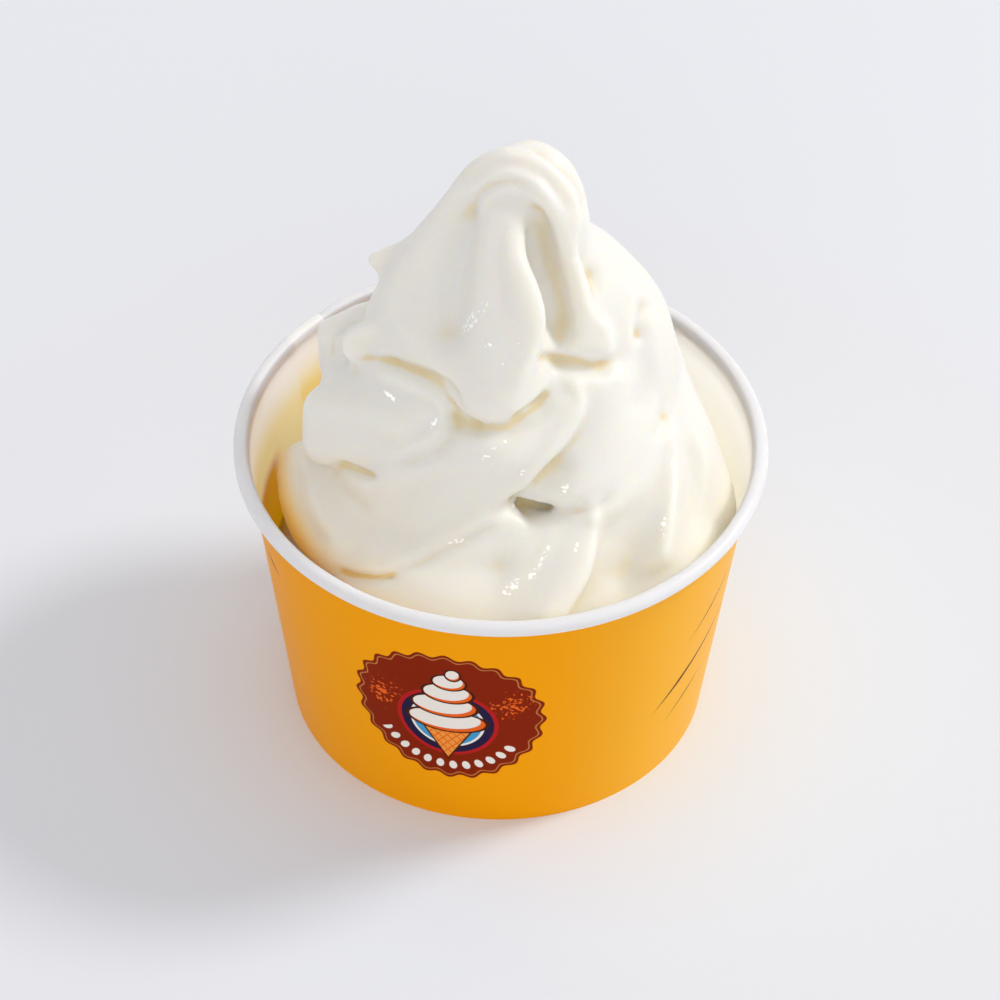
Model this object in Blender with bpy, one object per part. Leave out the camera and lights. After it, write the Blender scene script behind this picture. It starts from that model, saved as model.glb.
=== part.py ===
"""Cup of soft ice cream: a paper cup with a rolled rim, filled with a piped swirl.

The cup stands on the XY plane with its axis on Z. Sizes are in millimetres and become metres
when a mesh is made. The seen side faces -Y.
"""
import math

import bmesh
import bpy
import numpy as np
from mathutils import Vector

MM = 0.001

# Paper cup, 96 mm across the rim and 59 mm high
RIM_OUTER_RADIUS = 48.0
CUP_HEIGHT = 59.0
FOOT_OUTER_RADIUS = 37.6
CURL_RADIUS = 1.41
PAPER = 0.45
CURL_END_DEG = -120.0
CURL_STEP_DEG = 30.0
FOLD_HEIGHT = 6.0
BASE_TOP = 7.2
BASE_PAPER = 0.4
SKIRT_FOOT = 1.0
GAP = 0.3
CUP_SIDES = 64
SHARP_DEG = 40.0

# Where the paper blank laps over itself
LAP_DEG = 136.0
LAP_ARC_DEG = 10.0
LAP_EASE_DEG = 5.0
LAP_EDGE_DEG = 0.6

# Line of sight of the swirl's stations: they are placed as seen from the front, this far up
SIGHT_ELEVATION = math.radians(43.9)
RIM_CENTRE_HEIGHT = 59.0
SIGHT_DISTANCE = 1376.0

# Lines pressed into the seen side: they fade out over this share of their length at either end,
# a lip stands this many widths away, and only what faces the viewer in front takes them
STROKE_TAPER = 0.2
STROKE_STEP = 1.0
LIP_PLACE = 2.2
LIP_WIDTH = 1.6
FULL_FACING = 0.3
SEEN_CELL = 2.0
SEEN_DEPTH = 7.0
FAR = 1e9

# Ice cream mesh
VOXEL = 0.9
# Rounds of rounding off: soft ice cream sinks and fills its hollows, then its folds are smoothed
MELT_ROUNDS = 12
MELT_FILL = 0.5
MELT_WEAR = 0.18
SMOOTH_ROUNDS = 2
SMOOTH_FILL = 0.4
SMOOTH_WEAR = 0.25
ROPE_SIDES = 20
ROPE_CAP_DEG = (75, 50, 25)
ROPE_STEP = 1.6
WEB_STEP = 2.0
WEB_STATIONS = 10
TRIANGLES = 9000
FILL_LEVEL = 30.0

# Folds of ice cream. Each is a sheet with round edges between its rails, or a single rope. A rail is
# a row of stations (across, up, toward the viewer, radius) seen along the sight line.
FOLDS = {
    "cone": [[(0, 38, 29, 8), (-1, 31, 25, 10), (-3, 22, 20, 12.5), (-2, 14, 17, 14), (2, 4, 12, 14)]],
    "tongue": [
        [(3, 43, 38.9, 2.2), (1.8, 38, 39.8, 2.3), (1.8, 32, 40.5, 2.4), (3.6, 27.5, 40.2, 2.5),
         (5.2, 22.5, 39.4, 2.5),
         (5, 18, 37.8, 2.6), (3.2, 12.5, 36.2, 2.8), (0.4, 7.4, 33.2, 4.4)],
        [(-1.2, 43.5, 38.5, 2.2), (-2.8, 39, 38.6, 2.4), (-3.6, 33, 38.4, 2.6), (-3.2, 27, 37.8, 3),
         (-2.6, 22, 36.8, 3.2), (-2, 17, 35.6, 3.6), (-1.6, 12, 34, 4), (-1.8, 7.2, 32.2, 4.7)],
        [(-5.5, 42, 35.5, 2.4), (-8, 38, 33, 2.4), (-10, 31, 29.5, 3), (-10, 25, 28.8, 3.2),
         (-9.2, 20, 29.2, 3.4),
         (-7.8, 16, 30.4, 3.8), (-6, 12, 31.2, 4.2), (-4, 8.2, 30.8, 4.6)],
        [(-10.5, 38.5, 31, 3), (-15, 31.8, 28, 3.4), (-17.5, 26, 26, 3.6), (-17.5, 21.5, 25.5, 3.4),
         (-14, 18, 27, 3.6), (-11, 15, 28, 3.8), (-8, 12.3, 29, 4.2)],
        [(-12, 36.5, 28.5, 2.6), (-18, 32.8, 22, 2.2), (-19.5, 26, 19, 3.4), (-22, 21, 18.5, 3.2),
         (-20, 17.8, 21, 2.8), (-15, 16.5, 25, 3), (-11, 13.8, 27, 3.6)]],
    "tongue_root": [[(3.5, 16, 30, 6), (1.5, 9.5, 28.5, 7)]],
    "spike": [[(-16, 32.5, 23, 3.6), (-19, 32.2, 21, 2.8), (-22, 31.6, 20, 2.2), (-23.2, 31.8, 19.5, 1.7)]],
    "left_lobe": [[(-17, 16, 3, 7.8), (-22, 16.2, 1.5, 7.6), (-26.8, 16.8, 0.5, 7.4),
                   (-23.2, 11.4, 0, 7.4)]],
    "lip": [[(-26.4, 14.8, 19, 1.9), (-26.9, 16.8, 19.5, 1.9), (-24, 18.8, 21, 2.1), (-20, 20, 22.5, 2.6)]],
    # folds of the peak
    "hood_back": [[(-3, 46, 34, 4), (1, 48.6, 35.5, 4), (4.5, 49.7, 36.5, 4), (8, 48, 36.5, 3.9),
                   (10.3, 44.8, 35.5, 3.8), (11.5, 40, 33, 3.8), (11, 36, 30, 4.5)]],
    "hood": [
        [(-13.5, 35.5, 27.5, 3.2), (-9.5, 39.5, 31, 3.6), (-6.3, 43.8, 34.5, 3.6), (-3.2, 47.3, 37.5, 3.6),
         (1, 48.8, 39.5, 3.4), (5.2, 48, 40.5, 3), (8.8, 45.5, 40.8, 2.6), (11.3, 42, 40.3, 2.2),
         (12.5, 39.2, 39.5, 1.9)],
        [(-9.5, 37.5, 32.5, 2.2), (-7, 41, 35.5, 2), (-3.8, 44, 38.5, 1.9), (0.8, 45.6, 41, 1.9),
         (4, 45, 42, 1.8),
         (7.3, 43, 42.2, 1.7), (9.3, 40.2, 41.5, 1.6), (10.2, 37.5, 40, 1.8), (11.2, 34.5, 37.5, 2)]],
    "hood_core": [[(-6, 38, 30, 5), (0, 42, 34, 5), (5, 42, 35, 4.5), (9, 38, 33.5, 4)]],
    # right of the tongue
    "groove_floor": [[(4, 42, 36, 4), (5.8, 37.5, 32.3, 4), (6.8, 32, 29.4, 4.5), (9, 27, 27, 5),
                      (10.8, 20, 24.8, 5),
                      (11, 15, 24.5, 5)]],
    "column": [
        [(10, 36.5, 36.2, 2), (11.7, 30.5, 34, 2.2), (13.5, 25.5, 31.8, 2.4), (14.5, 20.5, 30, 2.6),
         (14.3, 17.3, 29.2, 2.8)],
        [(11.2, 34.5, 36.5, 1.6), (12.4, 31, 35, 1.8), (14, 26.5, 32.6, 2), (16.2, 21.6, 30.2, 2.3),
         (17.6, 17.3, 28.4, 2.9)]],
    "shoulder": [[(8, 34, 25, 8), (12.5, 29, 20, 10.5), (16, 21, 14.5, 13.8), (17.5, 12, 8, 14.3),
                  (19, 4, 2, 13)]],
    # second coil
    "pillow": [
        [(-28, 10, 11.5, 2.6), (-20.5, 9.2, 19.5, 2.6), (-15.5, 7, 23.5, 2.6), (-13, 4.5, 25, 2.6)],
        [(-31.6, 5, 12, 4.2), (-22, 4, 18.5, 4.5), (-17, 3, 21.5, 4.5), (-14.2, 3, 22.7, 3.6)],
        [(-31.8, -1.2, 10, 4), (-25, -1.6, 15.4, 3.5), (-18.5, 0, 19.2, 3.4), (-13, 1.5, 22.5, 3.2)]],
    "front_core": [[(-24, -14, 3, 9), (-14, -9, 10, 10.5), (-5, -5, 15, 10.5), (2, 0, 18, 9.5),
                    (8, 6, 19.5, 8.5),
                    (16, 9, 17.5, 9.5), (22, 14, 10, 9)]],
    "lip_back": [[(-25, 15.6, 15.5, 3.2), (-21.5, 16.5, 18.5, 3.4), (-17, 16, 22, 4)]],
    "lip_core": [[(-23.5, 10, 10, 5), (-19.5, 12, 15, 6.5), (-13, 11, 20, 7), (-7, 6, 22, 6)]],
    "front": [
        [(-31.5, -7.5, 0, 3.6), (-20, -7, 13.8, 5.2), (-11, -3.8, 21.2, 5), (-4, -3.6, 25.5, 4.5),
         (2, -2.3, 27, 4.5),
         (7, 2.5, 26.8, 4), (9.5, 7.5, 26.2, 3.5)],
        [(-13, 0, 22.5, 3), (-8, 1, 24.6, 3), (-4, -0.4, 28, 3), (0.6, -0.4, 29.2, 2.8), (5, 1.4, 29, 2.6),
         (9, 5.4, 28.6, 2.8)],
        [(-31.5, -12, 0, 3.6), (-27, -19.5, 5, 4), (-12.5, -15.8, 17.5, 3.5), (-5, -12, 21.5, 3.2),
         (0.5, -8, 24.6, 3), (5, -3.4, 26.8, 2.8), (9.4, 1.6, 28.2, 2.8), (11.2, 6, 28.4, 3)]],
    "right": [
        [(9, 10.8, 26.8, 3.4), (13, 11.2, 27.4, 3.4), (17.5, 10.6, 26, 3.6), (21.5, 12, 22, 3.6),
         (23.5, 17, 17, 3.6), (23.5, 21, 14, 3.2)],
        [(7.5, -2.5, 21.5, 3.6), (12.5, 0.5, 23.2, 4), (17.5, 3.5, 23.6, 4.2), (21.5, 8, 19.5, 4),
         (24, 14, 15.5, 3.6), (24.2, 21, 13, 3)],
        [(3.4, -8.7, 22.8, 1.8), (7.4, -9.4, 23.2, 2), (11.2, -9.7, 24, 2.5), (15, -8.4, 24.2, 2.8),
         (19.3, -4.8, 22.5, 3), (22.6, -1, 20, 3),
         (24.8, 4, 17.5, 3), (25.6, 10, 15.5, 3), (25.6, 17, 13.5, 2.8), (24.5, 22, 12, 2.6)]],
    # bottom coil and its flutes
    "flute_left": [[(-34.4, -6, -6, 5.8), (-33.2, -11, -0.5, 6.4), (-30.6, -16.2, 4, 6.6),
                    (-26, -20.5, 8, 6.6)]],
    "flank_right": [
        [(20.4, 18, 3, 10.6), (24, 8.6, 2.5, 10.2), (27.8, -1, 1.5, 10.8), (31.8, -12, -2, 11)],
        [(22, 3, 7, 7), (25, -5, 5, 7.5), (26, -14, 4, 9)]],
    "apron": [[(-18, -20, 13, 3.5), (-10, -18, 18.5, 3.5), (-4, -15.5, 21.5, 3.4), (0.4, -13.4, 22.8, 2.8),
               (3.2, -15.6, 22, 2.4), (5.6, -17.8, 21.5, 2.2), (8.2, -16.4, 21, 2.2),
               (11, -14.2, 20.8, 2.4)]],
    "belly": [[(-16, -22, 14, 5), (-8, -21, 18.6, 4.6), (0, -19.5, 20.2, 4), (6, -20.5, 21.2, 3.8)]],
    "pit_floor": [[(2.5, -12, 16.9, 3), (9, -13, 17.2, 3)]],
    "flute_a": [
        [(5, -17.8, 19.6, 4), (5, -20, 21.2, 4), (4.5, -24, 21.9, 4), (-0.5, -33, 22.4, 4)],
        [(9.3, -14.8, 18.6, 3.6), (9.2, -17.5, 21.2, 3.6), (8.4, -22, 22.5, 3.6), (3.4, -32, 23.6, 3.6)],
        [(14.4, -12, 20.4, 2.3), (14.4, -18, 24, 2.2), (13.2, -24, 26, 2.2), (8.6, -32, 27.4, 2.2)],
        [(17.5, -12, 18.4, 3), (17.6, -18, 20.8, 3), (16.2, -24, 20, 2.8), (12.2, -32, 22, 2.8)],
        [(21.5, -12, 17.4, 3.6), (21, -18, 16.4, 3.6), (20, -25, 13.6, 3.6), (16, -33, 16.4, 4)]],
    "flute_b": [
        [(24.5, 2, 12, 4), (24.5, -7, 16, 4), (23.6, -13, 15.8, 4.2), (23, -18.5, 13.6, 4.6),
         (22.5, -24, 12.4, 4.6)],
        [(29.9, 5, 9.5, 2.2), (29.9, -5, 15, 2.3), (29.6, -12, 17.5, 2.4), (29, -20, 18.5, 2.5)],
        [(32.4, 4, 3, 3), (32.4, -5, 7.5, 3), (31.8, -12, 10, 3), (31.2, -20, 11.5, 3)]],
    "flute_c": [[(34.8, 1, 0.5, 2.0), (35.8, -5, 3.8, 2.1), (35.2, -12, 6.8, 2.3)]],
    "under_edge": [[(15.5, -13, 21.6, 3.6), (20, -9.5, 20.6, 4), (24, -4.5, 17.8, 4), (27, 0.5, 14.6, 4)]],
}

# Hidden core, in world stations (x, y, z, radius)
CORE = [[(0, 0, 33, 25.5), (0, 0, 45, 22), (1, 0, 60, 19), (2, 1, 80, 13), (2, 1, 96, 8)]]

# Back of the coils, as stations (turn in degrees from +X, distance from the axis, height, radius)
BACK = [
    [(-178, 24, 44, 11), (-150, 25, 46, 12), (-120, 28, 46, 13), (-95, 31, 45.6, 13.2),
     (-65, 29.5, 45.5, 13.5), (-50, 33, 45, 10.8),
     (-38, 35, 48, 10.5), (-25, 31, 47, 12.5), (0, 27.5, 45, 14), (30, 27.5, 45, 13),
     (65, 27, 47, 12), (100, 26.5, 49, 12),
     (135, 25, 49, 12), (165, 24.5, 47, 11.5)],
    [(10, 20, 72, 12), (45, 20, 72, 12), (80, 20, 72, 12), (115, 19, 71, 12), (150, 20, 69, 12),
     (175, 23.5, 66, 10)],
    [(15, 12, 90, 12), (55, 12, 92, 11), (95, 12, 92, 10.5), (135, 13, 88, 10.5), (165, 16.5, 81, 8)],
]

# Lines worked into the seen side: crease depth, width (or widths left and right of the way), lip
# height on the left of the way, then (across, up) along the sight line, all in mm
STROKES = [
    # under the top coil and round the tongue
    (1.5, 0.9, 0.3, [(-6.8, 3.5), (-8.0, 6.2), (-9.5, 8.7), (-12, 10.4), (-16, 12.1), (-20, 13.5),
                     (-23, 14.1)]),
    (0.7, 0.6, 0.0, [(-18, 12.9), (-21, 13.8), (-24, 14.1), (-27.2, 13.3)]),
    (1.4, (0.6, 2.6), 0.0, [(-10.5, 6), (-7.6, 3.6), (-4, 2.3), (0, 1.9), (2.4, 3), (4.6, 4.5), (7, 6.4),
                            (9, 9)]),
    (1.6, 0.6, 0.0, [(1.4, 2.6), (4.4, 4.4), (6.4, 5.9), (7.8, 7.5), (8.8, 9.6)]),
    (1.5, (1.9, 1.6), 0.0, [(6, 41), (6.2, 38), (6.6, 35), (7.3, 32), (8.3, 29), (9.2, 26), (9.9, 23.3),
                            (10.4, 20.5), (10.6, 16)]),
    (1.6, (2.4, 0.6), 0.0, [(20.5, 14.4), (16.5, 13.6), (12.5, 14.4), (8.6, 15), (5.2, 14)]),
    (-0.4, 1.2, 0.0, [(3, 36), (3.2, 32), (4.6, 29), (6, 26.5), (6.9, 23.5), (7.2, 21), (6.8, 18.5),
                      (5.4, 15.4),
                      (4.2, 12), (2.4, 9), (1, 5.3)]),
    (-0.5, 1.3, 0.0, [(12, 33), (12.8, 31.5), (14.3, 27.5), (15.8, 23.7), (17.8, 21.8), (19, 19.5),
                      (19.6, 17.3)]),
    # folds of the peak, from the outermost in
    (0.9, 0.7, 0.0, [(2.5, 52.6), (4.8, 52), (7.4, 50.9), (9.9, 49), (12.2, 46.6), (14, 43.8), (15, 41),
                     (15.2, 38.8)]),
    (-0.4, 0.9, 0.0, [(-5, 50.2), (-2.5, 51), (0, 51.4), (3, 51.1), (6.5, 49.6), (9.5, 47.2), (11.9, 44.8),
                      (13.4, 42.2), (14.1, 39.8)]),
    (0.7, 1.0, 0.0, [(-6, 46.5), (-3, 48.6), (0.5, 49.2), (4, 48.5), (6.3, 47.4), (8.5, 45.1), (10.4, 42.9),
                     (11.6, 41), (12, 39)]),
    (-0.5, 0.8, 0.0, [(-7.5, 41.5), (-5.7, 44.2), (-3.6, 46.2), (-1.4, 47.2), (1, 47.4), (3.4, 47),
                      (6, 45.6),
                      (8, 43.4), (9.6, 40.6)]),
    (0.8, 0.8, 0.0, [(-8, 38), (-6.6, 41), (-4.6, 43.8), (-2, 45.5), (0.6, 46), (3.2, 45.5), (5.4, 44)]),
    (-0.4, 0.8, 0.0, [(-5.4, 39), (-4.4, 41.5), (-2.5, 43.8), (0, 44.8), (2.4, 44.4)]),
    # broad valley left of the tongue, and fine folds down the tongue
    (2.4, (3.6, 3.4), 0.0, [(-7, 45), (-8, 39), (-8.8, 33.5), (-9.4, 28.5), (-9.9, 23), (-10.4, 18.5),
                            (-11, 13)]),
    (0.3, 1.2, 0.0, [(-0.6, 40), (-1.2, 34), (-0.8, 29), (0.2, 24), (0.6, 20)]),
    # ridge of the second coil that curls round the tongue, and the valley beside it
    (-1.3, 1.2, 0.0, [(11, 12), (13.2, 9.6), (13.9, 7), (13.3, 4.4), (11.8, 1.8), (9.8, -0.8),
                      (7.4, -3.5), (5.3, -6.2), (3.6, -8.6), (0.4, -12.4)]),
    (1.2, (1.1, 3.2), 0.0, [(-1.5, -15), (2.9, -10.8), (5.2, -8.6), (7.6, -6.2), (10.2, -3.8), (13, -1.6)]),
    # crests of the flutes
    (-1.1, 1.2, 0.0, [(16.4, -9), (16.7, -13), (16.6, -17), (16.1, -21), (14.9, -25.2), (11.6, -32),
                      (9, -36)]),
    (1.3, (3.2, 1.6), 0.0, [(19.6, -14), (19.2, -20), (17.8, -25), (14.6, -30), (11.5, -36)]),
    (-0.9, 1.1, 0.0, [(29.6, 8), (30.4, 1), (30.8, -6), (30.4, -13), (29.6, -19), (28.4, -25)]),
    (0.5, 1.4, 0.0, [(33.6, 2), (34.2, -4), (34, -9), (33.2, -15)]),
    (-0.6, 1.0, 0.0, [(35.6, 2), (36.4, -4), (36, -10), (35, -14)]),
    (-0.3, 1.0, 0.0, [(9.6, -16), (8.6, -19.6), (6.4, -23), (3, -26), (-1.5, -28.5)]),
    # edge of the left lip
    (-0.6, 0.8, 0.0, [(-22, 20.2), (-25, 19.6), (-27.6, 18), (-28.6, 16.4), (-28.6, 14.6), (-27.8, 13.2)]),
    (0.9, 0.8, 0.0, [(-24, 22), (-27.4, 20.8), (-30, 18.2), (-30.6, 15.8), (-30, 13.2)]),
    # small pits
    (1.0, 1.2, 0.0, [(15, 32), (15.8, 29), (16.3, 26.2), (17, 23.6), (18.6, 20.6)]),
    (1.3, 1.2, 0.0, [(25.4, 26), (25.2, 23), (24.9, 20.4), (24.8, 17)]),
    (0.8, 1.7, 0.0, [(25, 22), (25.3, 15), (25, 8), (24, 4)]),
    (0.5, 1.2, 0.0, [(27, 0), (28.2, 2.6), (29.6, 5.4)]),
    # crest round the pillow, and the slit under it
    (-0.9, 1.2, 0.0, [(-25.2, 12), (-20.5, 10.8), (-16.3, 9.2), (-12.6, 7.6), (-10.6, 5.6), (-10.4, 2.6),
                      (-13, -0.4),
                      (-17.2, -2.2), (-20.4, -3.4), (-26, -3.8)]),
    (0.8, 1.3, 0.0, [(-8.4, 6), (-8.4, 2.5), (-11, -2), (-15.5, -4.4), (-20, -5.6)]),
    (1.9, (1.1, 0.45), 0.2, [(-22, -6.8), (-23.6, -6.6), (-25.4, -6.1), (-27.6, -5.3), (-30, -4.7)]),
    (0.8, 1.4, 0.0, [(-31, -5), (-29.4, -7.5), (-27.4, -10.1), (-24.8, -12.3), (-22.2, -13)]),
    # left edge of the front mass
    (1.1, 1.5, 0.3, [(-35.6, -2.4), (-36.4, -7.4), (-36.2, -10.4), (-35, -14), (-33, -17.6), (-30, -21)]),
    # between the lobes of the second coil, and its lower edge
    (1.0, 0.8, 0.0, [(2, -10.6), (5, -11.2), (7.5, -11.6), (10.4, -12.1)]),
    (0.6, 0.8, 0.3, [(20.8, -9.2), (18.2, -11.4), (15.6, -12.6), (12, -12.8)]),
    (0.7, 1.0, 0.4, [(-20, -24.6), (-15, -22.6), (-10, -20.2), (-5, -17.7), (1, -14.4)]),
    (1.7, (0.5, 1.2), 0.2, [(-30, -23.4), (-27.4, -24.4), (-24.5, -24.8), (-21.5, -24.8), (-17.5, -24)]),
]


def from_sight(across, up, toward):
    """World place, in mm, of a station given along the sight line."""
    sin_e, cos_e = math.sin(SIGHT_ELEVATION), math.cos(SIGHT_ELEVATION)
    scale = 1.0 - toward / SIGHT_DISTANCE
    across, up = across * scale, up * scale
    return (across, sin_e * up - cos_e * toward, RIM_CENTRE_HEIGHT + cos_e * up + sin_e * toward)


def curve_through(stations, step):
    """Points along a smooth curve through the stations, about one step apart."""
    rows = np.array(stations, float)
    padded = np.vstack([2 * rows[0] - rows[1], rows, 2 * rows[-1] - rows[-2]])
    points = []
    for before, start, end, after in zip(padded, padded[1:], padded[2:], padded[3:]):
        count = max(2, int(np.linalg.norm(end[:3] - start[:3]) / step))
        for t in np.arange(count) / count:
            points.append(0.5 * (2 * start + (end - before) * t
                                 + (2 * before - 5 * start + 4 * end - after) * t ** 2
                                 + (3 * start - before - 3 * end + after) * t ** 3))
    points.append(rows[-1])
    return np.array(points)


def add_rope(bm, stations):
    """A tube with round ends through stations (x, y, z, radius) in mm."""
    path = curve_through(stations, ROPE_STEP)
    centres, radii = path[:, :3], path[:, 3]
    ahead = np.gradient(centres, axis=0)
    ahead /= np.linalg.norm(ahead, axis=1)[:, None]
    rings = []
    for end, sign in ((0, -1), (-1, 1)):
        cap = []
        for degrees in ROPE_CAP_DEG:
            angle = math.radians(degrees)
            cap.append((centres[end] + sign * ahead[end] * radii[end] * math.sin(angle),
                        radii[end] * math.cos(angle), ahead[end]))
        rings.append(cap)
    body = [(c, r, d) for c, r, d in zip(centres, radii, ahead)]
    sections = rings[0] + body + rings[1][::-1]
    side = Vector((0, 0, 1)).cross(Vector(sections[0][2]))
    if side.length < 0.1:
        side = Vector((1, 0, 0))
    loops = []
    for centre, radius, direction in sections:
        direction = Vector(direction)
        side = (side - direction * side.dot(direction)).normalized()
        other = direction.cross(side)
        loop = []
        for k in range(ROPE_SIDES):
            turn = math.tau * k / ROPE_SIDES
            spot = Vector(centre) + (math.cos(turn) * side + math.sin(turn) * other) * float(radius)
            loop.append(bm.verts.new(spot * MM))
        loops.append(loop)
    for low, high in zip(loops, loops[1:]):
        for k in range(ROPE_SIDES):
            nxt = (k + 1) % ROPE_SIDES
            bm.faces.new((low[k], low[nxt], high[nxt], high[k]))
    bm.faces.new(loops[0][::-1])
    bm.faces.new(loops[-1])


def add_fold(bm, rails):
    """Ropes side by side, close enough to make one sheet between neighbouring rails."""
    add_rope(bm, rails[0])
    for rail, following in zip(rails, rails[1:]):
        here, there = (resampled(r, WEB_STATIONS) for r in (rail, following))
        apart = np.linalg.norm(here[:, :3] - there[:, :3], axis=1).max()
        count = max(1, math.ceil(apart / WEB_STEP))
        for k in range(1, count + 1):
            add_rope(bm, here + (there - here) * k / count)


def resampled(stations, count):
    """The smooth curve through the stations, as an even number of stations along its length."""
    path = curve_through(stations, ROPE_STEP)
    steps = np.linalg.norm(np.diff(path[:, :3], axis=0), axis=1)
    along = np.concatenate([[0.0], np.cumsum(steps)])
    marks = np.linspace(0.0, along[-1], count)
    return np.stack([np.interp(marks, along, column) for column in path.T], axis=1)


def wall_radius(height):
    """Outer radius of the paper wall, in mm, at a height above the table."""
    curl_height = CUP_HEIGHT - CURL_RADIUS
    top = RIM_OUTER_RADIUS - 2 * CURL_RADIUS + PAPER
    return FOOT_OUTER_RADIUS + (top - FOOT_OUTER_RADIUS) * height / curl_height


def new_object(name, bm, material):
    """Make a smooth-shaded object in the scene from a bmesh."""
    mesh = bpy.data.meshes.new(name)
    bm.to_mesh(mesh)
    bm.free()
    mesh.materials.append(material)
    mesh.shade_smooth()
    obj = bpy.data.objects.new(name, mesh)
    bpy.context.scene.collection.objects.link(obj)
    return obj


def add_fill(bm):
    """The lower part of the filling, which takes the shape of the cup."""
    rings = []
    for height in (BASE_TOP, FILL_LEVEL):
        radius = wall_radius(height) - PAPER
        ring = []
        for k in range(CUP_SIDES):
            turn = math.tau * k / CUP_SIDES
            ring.append(bm.verts.new((radius * math.cos(turn) * MM, radius * math.sin(turn) * MM,
                                      height * MM)))
        rings.append(ring)
    for k in range(CUP_SIDES):
        nxt = (k + 1) % CUP_SIDES
        bm.faces.new((rings[0][k], rings[0][nxt], rings[1][nxt], rings[1][k]))
    bm.faces.new(rings[0][::-1])
    bm.faces.new(rings[1])


def ice_cream_blank():
    """Overlapping closed ropes and core, before they are fused."""
    bm = bmesh.new()
    add_fill(bm)
    for rails in FOLDS.values():
        add_fold(bm, [[(*from_sight(*row[:3]), row[3]) for row in rail] for rail in rails])
    for stations in CORE:
        add_rope(bm, stations)
    for stations in BACK:
        add_rope(bm, [(d * math.cos(math.radians(a)), d * math.sin(math.radians(a)), z, r)
                      for a, d, z, r in stations])
    return bm


def neighbours_mean(co, edges):
    """Mean place of each vertex's neighbours."""
    total = np.zeros_like(co)
    count = np.bincount(edges.ravel(), minlength=len(co))
    for axis in range(3):
        total[:, axis] = (np.bincount(edges[:, 0], co[edges[:, 1], axis], len(co))
                          + np.bincount(edges[:, 1], co[edges[:, 0], axis], len(co)))
    return total / count[:, None]


def vertex_normals(co, quads):
    """Unit normals of a quad mesh's vertices."""
    cross = np.cross(co[quads[:, 2]] - co[quads[:, 0]], co[quads[:, 3]] - co[quads[:, 1]])
    normals = np.zeros_like(co)
    for corner in range(4):
        for axis in range(3):
            normals[:, axis] += np.bincount(quads[:, corner], cross[:, axis], len(co))
    return normals / np.maximum(np.linalg.norm(normals, axis=1), 1e-9)[:, None]


def relax(co, edges, quads, rounds, fill, wear):
    """Round the mesh off: hollows fill by one share each round, ridges wear by another."""
    for _ in range(rounds):
        pull = neighbours_mean(co, edges) - co
        outward = np.sum(pull * vertex_normals(co, quads), axis=1)
        co = co + np.where(outward > 0, fill, wear)[:, None] * pull
    return co


def both_sides(width):
    """Widths of a stroke to the left and right of its way, given as a pair or as one number."""
    return width if isinstance(width, tuple) else (width, width)


def stroke_heights(co, normals, strokes):
    """How far each vertex moves out, in mm, for lines worked into the seen side."""
    sin_e, cos_e = math.sin(SIGHT_ELEVATION), math.cos(SIGHT_ELEVATION)
    up = sin_e * co[:, 1] + cos_e * (co[:, 2] - RIM_CENTRE_HEIGHT)
    toward = -cos_e * co[:, 1] + sin_e * (co[:, 2] - RIM_CENTRE_HEIGHT)
    scale = 1.0 - toward / SIGHT_DISTANCE
    seen = np.stack([co[:, 0] / scale, up / scale], axis=1)
    facing = np.clip((-cos_e * normals[:, 1] + sin_e * normals[:, 2]) / FULL_FACING, 0, 1)
    cell = np.floor(seen / SEEN_CELL).astype(int)
    cell -= cell.min(axis=0) - 1
    nearest = np.full(cell.max(axis=0) + 2, -FAR)
    np.maximum.at(nearest, (cell[:, 0], cell[:, 1]), toward)
    in_front = toward > nearest[cell[:, 0], cell[:, 1]] - SEEN_DEPTH
    shift = np.zeros(len(co))
    for depth, width, lip, points in strokes:
        line = curve_through([(x, y, 0, 0) for x, y in points], STROKE_STEP)[:, :2]
        away = np.full(len(co), FAR)
        place = np.zeros(len(co))
        side = np.zeros(len(co))
        for k, (start, end) in enumerate(zip(line, line[1:])):
            run = end - start
            offset = seen - start
            t = np.clip((offset @ run) / (run @ run), 0, 1)
            gap = offset - t[:, None] * run
            distance = np.hypot(gap[:, 0], gap[:, 1])
            closer = distance < away
            place = np.where(closer, (k + t) / (len(line) - 1), place)
            side = np.where(closer, np.sign(run[0] * offset[:, 1] - run[1] * offset[:, 0]), side)
            away = np.where(closer, distance, away)
        fade = np.clip(np.minimum(place, 1 - place) / STROKE_TAPER, 0, 1)
        fade = fade * fade * (3.0 - 2.0 * fade)
        left, right = both_sides(width)
        crease = -depth * np.exp(-(away / np.where(side > 0, left, right)) ** 2)
        from_lip = (away - LIP_PLACE * left) / (LIP_WIDTH * left)
        rise = lip * (side > 0) * np.exp(-from_lip ** 2)
        shift += fade * (crease + rise)
    return shift * facing * in_front


def clamp_to_cup(co):
    """Keep the ice cream a gap clear of the paper wall and base."""
    co = co.copy()
    low = BASE_TOP + GAP
    co[:, 2] = np.maximum(co[:, 2], low)
    inner = (wall_radius(co[:, 2]) - PAPER) * math.cos(math.pi / CUP_SIDES) - GAP
    radius = np.hypot(co[:, 0], co[:, 1])
    shrink = np.where((co[:, 2] < CUP_HEIGHT) & (radius > inner), inner / np.maximum(radius, 1e-6), 1.0)
    co[:, :2] *= shrink[:, None]
    return co


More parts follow.
